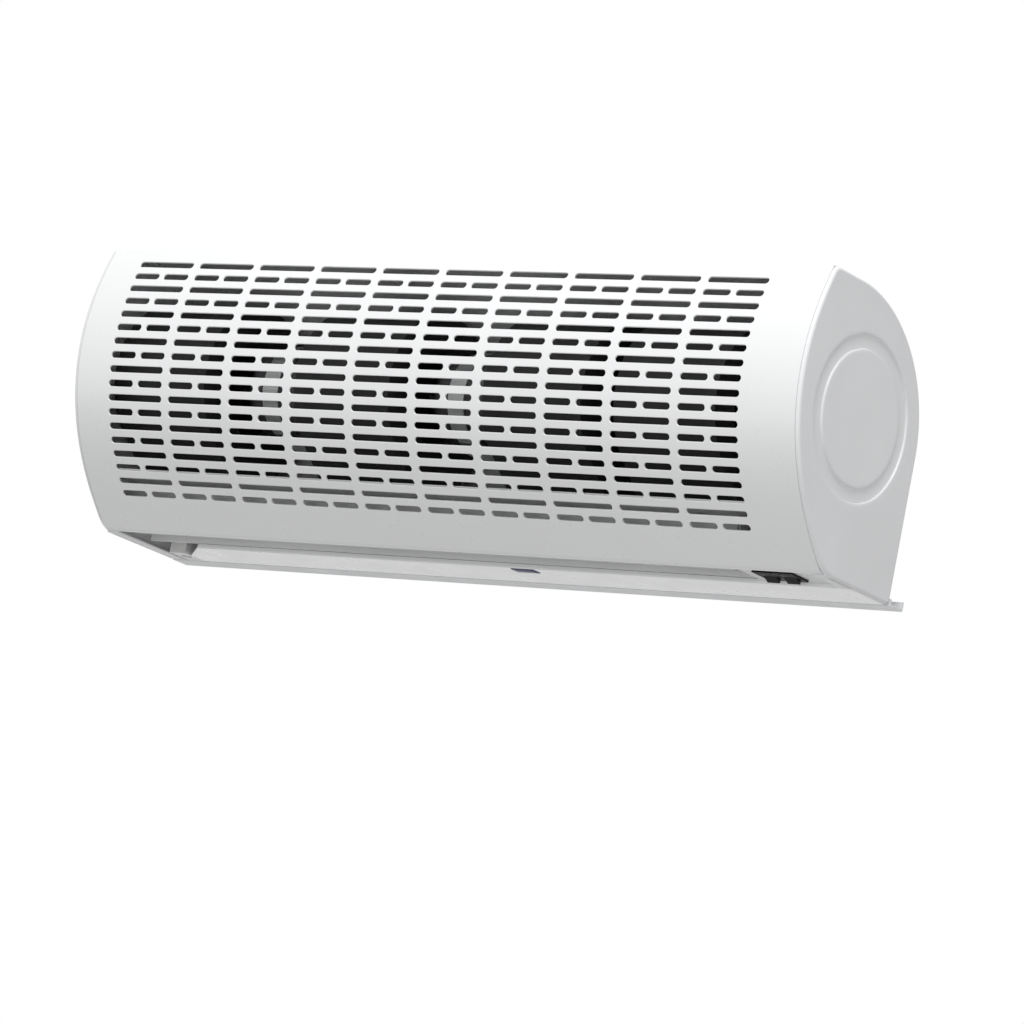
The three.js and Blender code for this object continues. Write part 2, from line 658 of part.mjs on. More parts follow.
// Saddle that carries a motor off the rear shell: cradle, two arms and a foot.
function motorSaddle(middle) {
  const [x0, x1] = [middle - SADDLE_WIDTH / 2, middle + SADDLE_WIDTH / 2];
  const [cut0, cut1] = [x0 - CUT_OVER, x1 + CUT_OVER];
  const half = MOTOR_RADIUS + FIT + SADDLE_WALL;
  const arm = half - SADDLE_WALL;
  const cradle = barX(MOTOR_RADIUS + FIT, cut0, cut1, FAN_Y, FAN_Z, ROUND_SIDES);
  const rear = INNER_REAR - SADDLE_WALL;
  return box(x0, x1, FAN_Y, INNER_REAR, FAN_Z - half, FAN_Z + half)
    .subtract(cradle)
    .subtract(box(cut0, cut1, FAN_Y + half, rear, FAN_Z - arm, FAN_Z + arm))
    .intersect(INSIDE);
}

// Strap over the front half of a motor, down to the saddle's arms.
function motorStrap(middle) {
  const half = SADDLE_WIDTH / 4;
  const [inner, outer] = [MOTOR_RADIUS + FIT, MOTOR_RADIUS + FIT + SHEET];
  const band = [
    [inner, middle - half],
    [outer, middle - half],
    [outer, middle + half],
    [inner, middle + half],
  ];
  const [x0, x1] = [middle - SADDLE_WIDTH, middle + SADDLE_WIDTH];
  const reach = 2 * outer;
  const rearHalf = box(x0, x1, FAN_Y - FIT, FAN_Y + reach, FAN_Z - reach, FAN_Z + reach);
  return ringX(band, FAN_Y, FAN_Z, ROUND_SIDES).subtract(rearHalf);
}

// Outboard bearing of the right shaft: a bored block on a web from the rear shell.
function bearingPedestal() {
  const [x0, x1] = [BEARING_X, BEARING_X + BEARING_BLOCK_WIDTH];
  const [web0, web1] = [(x0 + x1 - BEARING_WEB) / 2, (x0 + x1 + BEARING_WEB) / 2];
  const web = BEARING_BLOCK_RADIUS - BEARING_WEB_SETBACK;
  const foot = BEARING_BLOCK_RADIUS + BEARING_FOOT_REACH;
  const bore = SHAFT_RADIUS + BEARING_CLEARANCE;
  return barX(BEARING_BLOCK_RADIUS, x0, x1, FAN_Y, FAN_Z, BAR_SIDES)
    .add(box(web0, web1, FAN_Y, INNER_REAR, FAN_Z - web, FAN_Z + web))
    .add(box(x0, x1, INNER_REAR - SADDLE_WALL, INNER_REAR, FAN_Z - foot, FAN_Z + foot))
    .subtract(barX(bore, x0 - CUT_OVER, x1 + CUT_OVER, FAN_Y, FAN_Z, BAR_SIDES))
    .intersect(INSIDE);
}

// ---- Baffle and outlet -------------------------------------------------------------------

// Floor of the intake chamber, from the cover to the rear shell, with a cut for each neck.
function lowerBaffle() {
  const [front] = CURVE.filter((point) => point.z <= BAFFLE_Z).map((point) => point.y);
  const y0 = front + 3 * SHEET + FIT;
  const line = [
    [y0 + BAFFLE_LEAN, BAFFLE_Z - SHEET - BAFFLE_FLANGE],
    [y0, BAFFLE_Z - SHEET],
    [INNER_REAR, BAFFLE_Z - SHEET],
  ];
  const [z0, z1] = [BAFFLE_Z - SHEET - CUT_OVER, BAFFLE_Z + CUT_OVER];
  let baffle = alongX(strip(line, SHEET), -INNER_HALF, INNER_HALF);
  FAN_LEFTS.forEach((left) => {
    const neckFront = MOUTH_FRONT_Y + NECK_CLEARANCE - FIT;
    const neckRear = MOUTH_REAR_Y - NECK_CLEARANCE + FIT;
    const [x0, x1] = [left - FIT, left + SCROLL_WIDTH + FIT];
    baffle = baffle.subtract(box(x0, x1, neckFront, neckRear, z0, z1));
  });
  const cordHole = barZ(CORD_HOLE_RADIUS, z0, z1, CORD_X, CORD_Y, BAR_SIDES);
  return baffle.subtract(cordHole).intersect(INSIDE);
}

// Upright wall in front of the outlet, from the baffle down to the lip.
function outletFrontWall() {
  const [z0, z1] = [LIP_Z + SHEET + FIT, BAFFLE_Z - SHEET - FIT];
  return box(-INNER_HALF, ELECTRIC_X - FIT, MOUTH_FRONT_Y - SHEET, MOUTH_FRONT_Y, z0, z1);
}

// Upright wall behind the outlet, from the baffle down to the base panel's front edge.
function outletRearWall() {
  const [z0, z1] = [BOTTOM + BASE_EDGE_HEIGHT + FIT, BAFFLE_Z - SHEET - FIT];
  return box(-INNER_HALF, ELECTRIC_X - FIT, MOUTH_REAR_Y, MOUTH_REAR_Y + SHEET, z0, z1);
}

// Outlet vane: a thin blade on end, swollen at its axis, with a pin at either end.
function outletVane() {
  const half = VANE_CHORD / 2;
  const outline = [
    [MOUTH_MIDDLE_Y - VANE_THICKNESS / 2, VANE_Z],
    [MOUTH_MIDDLE_Y - VANE_THICKNESS / 4, VANE_Z - half],
    [MOUTH_MIDDLE_Y + VANE_THICKNESS / 4, VANE_Z - half],
    [MOUTH_MIDDLE_Y + VANE_THICKNESS / 2, VANE_Z],
    [MOUTH_MIDDLE_Y + VANE_THICKNESS / 4, VANE_Z + half],
    [MOUTH_MIDDLE_Y - VANE_THICKNESS / 4, VANE_Z + half],
  ];
  const pin = (x0, x1) => barX(VANE_PIN_RADIUS, x0, x1, MOUTH_MIDDLE_Y, VANE_Z, PIN_SIDES);
  return alongX(outline, VANE_LEFT, VANE_RIGHT)
    .add(pin(VANE_LEFT - VANE_PIN_LENGTH, VANE_LEFT + VANE_PIN_ROOT))
    .add(pin(VANE_RIGHT - VANE_PIN_ROOT, VANE_RIGHT + VANE_PIN_LENGTH));
}

// Pivot block for one end of the vane.
function vanePivot(x0) {
  const half = PIVOT_BLOCK;
  const bore = VANE_PIN_RADIUS + BEARING_CLEARANCE;
  const [y0, y1] = [MOUTH_MIDDLE_Y - half, MOUTH_MIDDLE_Y + half];
  const [cut0, cut1] = [x0 - CUT_OVER, x0 + PIVOT_BLOCK + CUT_OVER];
  return box(x0, x0 + PIVOT_BLOCK, y0, y1, VANE_Z - half, VANE_Z + half).subtract(
    barX(bore, cut0, cut1, MOUTH_MIDDLE_Y, VANE_Z, PIN_SIDES),
  );
}

// Bottom sheet behind the mouth, with an upturned front edge; its left end stays open for the
// supply cord, and a window is cut for the indicator.
function basePanel() {
  const line = [
    [INNER_REAR, BOTTOM + SHEET],
    [MOUTH_REAR_Y + SHEET, BOTTOM + SHEET],
    [MOUTH_REAR_Y + SHEET, BOTTOM + BASE_EDGE_HEIGHT],
  ];
  const [z0, z1] = [BOTTOM - CUT_OVER, BOTTOM + SHEET + CUT_OVER];
  const half = INDICATOR_LENGTH / 2 + FIT;
  const wide = INDICATOR_WIDTH / 2 + FIT;
  const [x0, x1] = [INDICATOR_X - half, INDICATOR_X + half];
  const window = box(x0, x1, INDICATOR_Y - wide, INDICATOR_Y + wide, z0, z1);
  return alongX(strip(line, SHEET), -HALF + CORD_BAY, SHELL_HALF).subtract(window);
}

// Indicator lens in the base panel, standing just proud of it.
function indicatorLens() {
  const [half, wide] = [INDICATOR_LENGTH / 2, INDICATOR_WIDTH / 2];
  const z0 = BOTTOM - INDICATOR_STAND;
  const [y0, y1] = [INDICATOR_Y - wide, INDICATOR_Y + wide];
  return box(INDICATOR_X - half, INDICATOR_X + half, y0, y1, z0, z0 + INDICATOR_THICKNESS);
}

// ---- Switches and electrics --------------------------------------------------------------

// Closes the mouth's right end below the electrics, with an opening for each switch.
function switchPlate() {
  const [y0, y1] = [MOUTH_FRONT_Y + FIT, MOUTH_REAR_Y - FIT];
  const top = BAFFLE_Z - SHEET - FIT;
  let plate = box(ELECTRIC_X, SHELL_HALF, y0, y1, SWITCH_Z, SWITCH_Z + SHEET);
  plate = plate.add(box(ELECTRIC_X, ELECTRIC_X + SHEET, y0, y1, SWITCH_Z, top));
  SWITCH_XS.forEach((x) => {
    const half = SWITCH_BODY_WIDTH / 2 + FIT;
    const long = SWITCH_BODY_LENGTH / 2 + FIT;
    const [z0, z1] = [SWITCH_Z - CUT_OVER, SWITCH_Z + SHEET + CUT_OVER];
    plate = plate.subtract(box(x - half, x + half, MOUTH_MIDDLE_Y - long, MOUTH_MIDDLE_Y + long, z0, z1));
  });
  return plate;
}

// Switch body: bezel under the plate, box above it, and a pocket for the rocker.
function switchBody(x) {
  const rect = (width, length, z0, z1) => {
    const [wide, long] = [width / 2, length / 2];
    return box(x - wide, x + wide, MOUTH_MIDDLE_Y - long, MOUTH_MIDDLE_Y + long, z0, z1);
  };
  const bezelTop = SWITCH_Z - FIT / 2;
  const bezelBottom = bezelTop - SWITCH_BEZEL_THICKNESS;
  const pocketTop = ROCKER_Z + ROCKER_BACK + ROCKER_BACK_ROOM;
  const pocketWidth = ROCKER_WIDTH + 2 * FIT;
  const pocketLength = ROCKER_LENGTH + 2 * ROCKER_SWING_ROOM;
  const pinReach = ROCKER_WIDTH / 2 + ROCKER_PIN_REACH + FIT;
  const pinHole = ROCKER_PIN_RADIUS + FIT;
  return rect(SWITCH_BEZEL_WIDTH, SWITCH_BEZEL_LENGTH, bezelBottom, bezelTop)
    .add(rect(SWITCH_BODY_WIDTH, SWITCH_BODY_LENGTH, bezelBottom, SWITCH_Z + SWITCH_BODY_DEPTH))
    .subtract(rect(pocketWidth, pocketLength, bezelBottom - CUT_OVER, pocketTop))
    .subtract(barX(pinHole, x - pinReach, x + pinReach, MOUTH_MIDDLE_Y, ROCKER_Z, ROCKER_PIN_SIDES));
}

// Rocker: a paddle with a hollowed face and two side pins, tipped to its off position.
function rocker(x) {
  const half = ROCKER_LENGTH / 2;
  const rim = PIVOT_RISE + SWITCH_BEZEL_THICKNESS;
  const outline = [
    [-half, -rim - ROCKER_CREST],
    [0, -rim],
    [half, -rim - ROCKER_CREST],
    [half - ROCKER_TAPER, -rim / 2],
    [half / 2, ROCKER_BACK],
    [-half / 2, ROCKER_BACK],
    [-half + ROCKER_TAPER, -rim / 2],
  ];
  const wide = ROCKER_WIDTH / 2;
  const pin = wide + ROCKER_PIN_REACH;
  const pins = barX(ROCKER_PIN_RADIUS, -pin, pin, 0, 0, ROCKER_PIN_SIDES);
  const geometry = geometryOf(alongX(outline, -wide, wide).add(pins));
  geometry.rotateX(-ROCKER_THROW);
  geometry.translate(x, MOUTH_MIDDLE_Y, ROCKER_Z);
  return solid(geometry);
}

// Run capacitor: a box with a rounded-off top, standing on the baffle.
function runCapacitor(index) {
  const pitch = CAPACITOR_WIDTH + ELECTRICS_GAP;
  const y = BACK - SHEET - ELECTRICS_BACK - index * pitch;
  const x0 = ELECTRIC_X + ELECTRICS_INSET;
  const [half, z0] = [CAPACITOR_WIDTH / 2, BAFFLE_Z + FIT];
  const [z1, soft] = [z0 + CAPACITOR_HEIGHT, CAPACITOR_SOFT];
  const outline = [
    [y - half, z0],
    [y + half, z0],
    [y + half, z1 - soft],
    [y + half - soft, z1],
    [y - half + soft, z1],
    [y - half, z1 - soft],
  ];
  return alongX(outline, x0, x0 + CAPACITOR_LENGTH);
}

// Terminal block on the rear shell: a barrier strip with a screw pocket for each way.
function terminalBlock() {
  const x0 = BEARING_X + BEARING_BLOCK_WIDTH + ELECTRICS_GAP;
  const front = INNER_REAR - TERMINAL_HEIGHT;
  const z0 = BAFFLE_Z + CAPACITOR_HEIGHT + TERMINAL_RISE;
  const z1 = z0 + TERMINAL_WIDTH;
  const pitch = TERMINAL_LENGTH / TERMINAL_WAYS;
  const half = (pitch - TERMINAL_BARRIER) / 2;
  const [y0, y1] = [front - CUT_OVER, front + TERMINAL_POCKET];
  let block = box(x0, x0 + TERMINAL_LENGTH, front, INNER_REAR, z0, z1);
  for (let way = 0; way < TERMINAL_WAYS; way++) {
    const x = x0 + (way + 0.5) * pitch;
    block = block.subtract(
      box(x - half, x + half, y0, y1, z0 + TERMINAL_RIM, z1 - TERMINAL_RIM),
    );
  }
  return block;
}

// Clamp for the supply cord, in the open left end of the base panel.
function cordClamp() {
  const [half, wide] = [CLAMP_LENGTH / 2, CLAMP_WIDTH / 2];
  const [z0, z1] = [BOTTOM, BOTTOM + CLAMP_HEIGHT];
  const hole = barZ(CORD_HOLE_RADIUS, z0 - CUT_OVER, z1 + CUT_OVER, CORD_X, CORD_Y, BAR_SIDES);
  return box(CORD_X - half, CORD_X + half, CORD_Y - wide, CORD_Y + wide, z0, z1).subtract(hole);
}

// ---- Wall plate --------------------------------------------------------------------------

// Plate on the wall: flanged top edge, a channel along the bottom, and four screw holes.
function wallPlate() {
  const reach = BACK + FIT;
  const end = HALF - PLATE_SIDE_INSET;
  const panelLine = [
    [reach, PLATE_TOP],
    [0, PLATE_TOP],
    [0, BOTTOM + RAIL_HEIGHT / 2],
  ].reverse();
  const railLine = [
    [0, BOTTOM + RAIL_HEIGHT + PLATE_SHEET],
    [0, BOTTOM],
    [reach, BOTTOM],
    [reach, BOTTOM + RAIL_HEIGHT],
  ].reverse();
  let plate = alongX(strip(panelLine, PLATE_SHEET), -end, end);
  plate = plate.add(alongX(strip(railLine, PLATE_SHEET), -HALF, HALF));
  [-0.5, 0.5].forEach((side) => {
    [0, WALL_HOLE_RISE].forEach((drop) => {
      const x = side * WALL_HOLE_SPACING;
      const z = PLATE_TOP - WALL_HOLE_TOP - drop;
      const [y0, y1] = [-PLATE_SHEET - CUT_OVER, CUT_OVER];
      plate = plate.subtract(barY(WALL_HOLE_RADIUS, y0, y1, x, z, WALL_HOLE_SIDES));
    });
  });
  return plate;
}

// ---- Assembly ----------------------------------------------------------------------------

add("wall_plate", wallPlate(), WHITE_STEEL);
add("rear_shell", rearShell(), WHITE_STEEL);
add("front_cover", frontCover(), WHITE_STEEL);
add("left_end_cap", endCap(-1), WHITE_PLASTIC);
add("right_end_cap", endCap(1), WHITE_PLASTIC);
add("base_panel", basePanel(), WHITE_STEEL);
add("lower_baffle", lowerBaffle(), INNER_STEEL);
add("outlet_front_wall", outletFrontWall(), INNER_STEEL);
add("outlet_rear_wall", outletRearWall(), INNER_STEEL);
FAN_LEFTS.forEach((left, i) => {
  add("scroll_housing_" + (i + 1), scrollHousing(left), BLACK_PLASTIC);
  add("fan_wheel_" + (i + 1), fanWheel(left), BLACK_PLASTIC);
});
add("shaft_left", leftShaft(), BRIGHT_STEEL);
add("shaft_right", rightShaft(), BRIGHT_STEEL);
MOTOR_MIDDLES.forEach((middle, i) => {
  add("motor_" + (i + 1), motor(middle), MOTOR_STEEL);
  add("motor_saddle_" + (i + 1), motorSaddle(middle), INNER_STEEL);
  add("motor_strap_" + (i + 1), motorStrap(middle), BRIGHT_STEEL);
});
add("bearing_pedestal", bearingPedestal(), INNER_STEEL);
add("outlet_vane", outletVane(), WHITE_PLASTIC);
add("vane_pivot_left", vanePivot(-HALF + CAP_WALL + FIT), WHITE_PLASTIC);
add("vane_pivot_right", vanePivot(ELECTRIC_X - FIT - PIVOT_BLOCK), WHITE_PLASTIC);
add("indicator_lens", indicatorLens(), NAVY_LENS);
add("switch_plate", switchPlate(), INNER_STEEL);
SWITCH_XS.forEach((x, i) => {
  add("switch_body_" + (i + 1), switchBody(x), BLACK_PLASTIC);
  add("switch_rocker_" + (i + 1), rocker(x), BLACK_PLASTIC);
});
add("run_capacitor_1", runCapacitor(0), WHITE_PLASTIC);
add("run_capacitor_2", runCapacitor(1), WHITE_PLASTIC);
add("terminal_block", terminalBlock(), WHITE_PLASTIC);
add("cord_clamp", cordClamp(), WHITE_PLASTIC);

export default part;
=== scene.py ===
"""Looks of a wall-mounted air curtain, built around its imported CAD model.

All geometry is worked out in millimetres in the CAD frame (X along the unit, Y towards the wall,
Z up, origin on the wall) and turned into metres when a mesh is made.
"""

import json
import logging
import math
from collections.abc import Callable
from dataclasses import dataclass, field
from enum import Enum

import bpy
import numpy as np
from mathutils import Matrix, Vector


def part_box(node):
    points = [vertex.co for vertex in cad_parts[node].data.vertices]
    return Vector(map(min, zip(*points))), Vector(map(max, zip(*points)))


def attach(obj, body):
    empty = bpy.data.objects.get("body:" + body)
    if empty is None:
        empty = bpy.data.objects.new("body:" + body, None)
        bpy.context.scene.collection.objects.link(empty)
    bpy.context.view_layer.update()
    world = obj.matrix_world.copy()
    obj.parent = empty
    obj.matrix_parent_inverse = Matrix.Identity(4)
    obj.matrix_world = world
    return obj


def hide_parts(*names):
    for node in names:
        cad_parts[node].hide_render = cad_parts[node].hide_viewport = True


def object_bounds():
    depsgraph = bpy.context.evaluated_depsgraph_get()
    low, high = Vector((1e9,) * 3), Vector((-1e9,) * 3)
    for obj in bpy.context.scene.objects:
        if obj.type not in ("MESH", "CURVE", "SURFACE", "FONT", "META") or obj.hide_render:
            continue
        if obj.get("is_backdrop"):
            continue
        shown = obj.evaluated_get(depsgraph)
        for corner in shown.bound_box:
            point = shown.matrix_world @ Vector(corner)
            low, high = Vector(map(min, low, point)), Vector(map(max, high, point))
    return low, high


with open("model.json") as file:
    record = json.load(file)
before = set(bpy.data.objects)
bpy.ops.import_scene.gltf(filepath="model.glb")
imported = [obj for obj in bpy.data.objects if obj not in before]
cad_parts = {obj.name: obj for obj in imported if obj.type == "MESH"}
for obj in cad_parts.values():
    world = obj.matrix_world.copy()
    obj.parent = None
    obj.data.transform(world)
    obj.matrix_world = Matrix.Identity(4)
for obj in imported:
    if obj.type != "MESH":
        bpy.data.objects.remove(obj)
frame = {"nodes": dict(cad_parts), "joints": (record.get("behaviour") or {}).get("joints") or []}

CAD_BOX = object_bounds()
MM = 0.001
NOISE_LOW, NOISE_HIGH = 0.3, 0.7
NOISE_ROUGHNESS = 0.55
CLOUD_LOW, CLOUD_HIGH = 0.35, 0.68
STAIN_LOW, STAIN_HIGH = 0.3, 0.7
CELLS_LOW, CELLS_HIGH = 0.4, 0.6
BLOCK_STEPS = 4
FULL_TURN = 2 * math.pi
QUARTER_TURN = math.pi / 2
LOG = logging.getLogger("air_curtain")

Array = np.ndarray


# ---- Meshes ------------------------------------------------------------------------------


@dataclass
class Surface:
    """Points and faces in millimetres that grow patch by patch and are welded at the end."""

    points: list = field(default_factory=list)
    faces: list = field(default_factory=list)
    count: int = 0

    def add(self, points: Array, faces: Array) -> None:
        """Adds points and the faces that index them.

        Args:
            points: (n, 3) places.
            faces: (m, 3) or (m, 4) indices into points.
        """
        self.points.append(np.asarray(points, float).reshape(-1, 3))
        self.faces.append(np.asarray(faces, int) + self.count)
        self.count += len(self.points[-1])

    def grid(self, points: Array, closed: bool = False, flip: bool = False) -> None:
        """Adds a sheet of quads over a grid of points.

        Args:
            points: (rows, columns, 3) places.
            closed: whether the last column joins the first.
            flip: whether the faces look the other way.
        """
        rows, columns = points.shape[:2]
        index = np.arange(rows * columns).reshape(rows, columns)
        across = np.roll(index, -1, axis=1) if closed else index[:, 1:]
        along = index if closed else index[:, :-1]
        quads = np.stack([along[:-1], across[:-1], across[1:], along[1:]], axis=-1).reshape(-1, 4)
        self.add(points, quads[:, ::-1] if flip else quads)

    def fan(self, loop: Array, centre: Array, flip: bool = False) -> None:
        """Closes a loop of points with triangles to a centre.

        Args:
            loop: (n, 3) places round the loop.
            centre: place of the middle.
            flip: whether the faces look the other way.
        """
        n = len(loop)
        ring = np.arange(n)
        tris = np.stack([ring, np.roll(ring, -1), np.full(n, n)], axis=-1)
        self.add(np.vstack([loop, centre]), tris[:, ::-1] if flip else tris)

    def piece(self, name: str, sharp: float = 40.0, weld: float = 0.004) -> bpy.types.Object:
        """Makes the welded mesh as an object in metres.

        Args:
            name: the object's name.
            sharp: edges over this angle in degrees stay sharp.
            weld: points closer than this many millimetres become one.

        Returns:
            The new object, at the origin.
        """
        points = np.vstack(self.points)
        keys = np.round(points / weld).astype(np.int64)
        _, first, back = np.unique(keys, axis=0, return_index=True, return_inverse=True)
        back = back.reshape(-1)
        polygons: list = []
        for block in self.faces:
            welded = back[block]
            ahead = np.roll(welded, -1, axis=1)
            whole = (welded != ahead).all(axis=1)
            polygons += welded[whole].tolist()
            polygons += [list(dict.fromkeys(face)) for face in welded[~whole].tolist()]
        polygons = [face for face in polygons if len(set(face)) == len(face) > 2]
        mesh = bpy.data.meshes.new(name)
        mesh.from_pydata((points[first] * MM).tolist(), [], polygons)
        mesh.validate()
        mesh.shade_smooth()
        mesh.set_sharp_from_angle(angle=math.radians(sharp))
        piece = bpy.data.objects.new(name, mesh)
        bpy.context.scene.collection.objects.link(piece)
        return piece


def arc_lengths(line: Array) -> Array:
    """Distance along a line of points, from its first point.

    Args:
        line: (n, 2) points.

    Returns:
        (n,) distances.
    """
    return np.concatenate([[0.0], np.cumsum(np.linalg.norm(np.diff(line, axis=0), axis=1))])


def left_normals(line: Array, closed: bool = False) -> Array:
    """Unit normals to the left of a line of 2-D points.

    Args:
        line: (n, 2) points.
        closed: whether the last point joins the first.

    Returns:
        (n, 2) unit vectors.
    """
    if closed:
        tangent = np.roll(line, -1, axis=0) - np.roll(line, 1, axis=0)
    else:
        tangent = np.gradient(line, axis=0)
    tangent /= np.linalg.norm(tangent, axis=1)[:, None]
    return np.stack([-tangent[:, 1], tangent[:, 0]], axis=1)


def rounded(line: Array, radius: float, steps: int = 5, share: float = 0.45) -> Array:
    """Rounds the corners of an open line, each with a parabola that starts a radius away.

    Args:
        line: (n, 2) points.
        radius: how far from the corner the bend starts.
        steps: pieces per bend.
        share: most of a straight piece that one bend takes.

    Returns:
        The longer line.
    """
    out = [line[0]]
    t = np.linspace(0, 1, steps + 1)[:, None]
    for before, corner, after in zip(line[:-2], line[1:-1], line[2:]):
        into, away = before - corner, after - corner
        reach = [min(radius, share * np.linalg.norm(v)) for v in (into, away)]
        start = corner + into / np.linalg.norm(into) * reach[0]
        end = corner + away / np.linalg.norm(away) * reach[1]
        out.extend((1 - t) ** 2 * start + 2 * t * (1 - t) * corner + t**2 * end)
    out.append(line[-1])
    return np.array(out)


def rounded_loop(loop: Array, radius: float, steps: int = 5) -> Array:
    """Rounds every corner of a closed loop.

    Args:
        loop: (n, 2) points.
        radius: how far from the corner the bend starts.
        steps: pieces per bend.

    Returns:
        The longer loop.
    """
    wrapped = np.vstack([loop[-1:], loop, loop[:1]])
    return rounded(wrapped, radius, steps)[1:-1]


def along_x(line: Array, xs: Array) -> Array:
    """Repeats a line at every x.

    Args:
        line: (n, 2) points in y and z.
        xs: (m,) places along X.

    Returns:
        (n, m, 3) grid.
    """
    grid = np.empty((len(line), len(xs), 3))
    grid[..., 0] = np.asarray(xs)[None, :]
    grid[..., 1:] = line[:, None, :]
    return grid


def swept_sheet(surface: Surface, line: Array, thickness: float, xs: Array) -> None:
    """Adds a bent sheet: a line and its offset to the left, swept along X and closed.

    Args:
        surface: where the faces go.
        line: (n, 2) points of the outer face.
        thickness: sheet thickness; the sheet lies to the left of the line.
        xs: places along X, ends included.
    """
    other = line + left_normals(line) * thickness
    surface.grid(along_x(line, xs))
    surface.grid(along_x(other, xs), flip=True)
    for x, flip in ((xs[0], False), (xs[-1], True)):
        surface.grid(edge_grid(line, other, x), flip=flip)
    for end, flip in ((0, True), (-1, False)):
        pair = np.array([line[end], other[end]])
        surface.grid(along_x(pair, xs), flip=flip)


def edge_grid(line: Array, other: Array, x: float) -> Array:
    """Closes the gap between two lines at one x.

    Args:
        line: (n, 2) points in y and z.
        other: the other line, with as many points.
        x: where both lie.

    Returns:
        (n, 2, 3) grid.
    """
    grid = np.empty((len(line), 2, 3))
    grid[..., 0] = x
    grid[:, 0, 1:] = line
    grid[:, 1, 1:] = other
    return grid


def swept_loop(
    surface: Surface, loop: Array, x0: float, x1: float, edge: float = 0.4, steps: int = 3
) -> None:
    """Adds a solid bar: a closed loop swept along X, with rounded ends.

    Args:
        surface: where the faces go.
        loop: (n, 2) points, counter-clockwise in (y, z).
        x0: low end.
        x1: high end.
        edge: rounding of the two end edges.
        steps: pieces per rounding.
    """
    inward = left_normals(loop, closed=True)
    turns = np.linspace(QUARTER_TURN, 0, steps + 1)
    rings = [(x0 + edge * (1 - math.sin(t)), edge * (1 - math.cos(t))) for t in turns]
    rings += [(x0 + x1 - x, inset) for x, inset in rings[::-1]]
    grid = np.empty((len(rings), len(loop), 3))
    for row, (x, inset) in zip(grid, rings):
        row[:, 0] = x
        row[:, 1:] = loop + inward * inset
    surface.grid(grid, closed=True, flip=True)
    middle = loop.mean(axis=0)
    surface.fan(grid[0], np.array([x0, *middle]), flip=True)
    surface.fan(grid[-1], np.array([x1, *middle]))


def turned(surface: Surface, profile: Array, y: float, z: float, sides: int = 48) -> None:
    """Adds a body turned about an axis along X.

    Args:
        surface: where the faces go.
        profile: (n, 2) points of (radius, x), in order along the outside.
        y: the axis's y.
        z: the axis's z.
        sides: points round the axis.
    """
    turn = np.linspace(0, FULL_TURN, sides, endpoint=False)
    grid = np.empty((len(profile), sides, 3))
    grid[..., 0] = profile[:, 1][:, None]
    grid[..., 1] = y + profile[:, 0][:, None] * np.cos(turn)
    grid[..., 2] = z + profile[:, 0][:, None] * np.sin(turn)
    surface.grid(grid, closed=True, flip=True)


def mirrored(profile: list) -> list:
    """Follows half a turned profile with its mirror image.

    Args:
        profile: (radius, x) points, from the far end to the middle.

    Returns:
        The whole profile's points.
    """
    return profile + [(radius, -x) for radius, x in profile[::-1]]


# ---- Finishes ----------------------------------------------------------------------------


class Slot(Enum):
    """The record's material slots."""

    PAINT = "painted_white"
    PLASTIC = "white_plastic"
    INNER = "inner_sheet"
    BLACK = "black_plastic"
    MOTOR = "motor_can"
    BRIGHT = "bright_steel"
    LENS = "navy_lens"


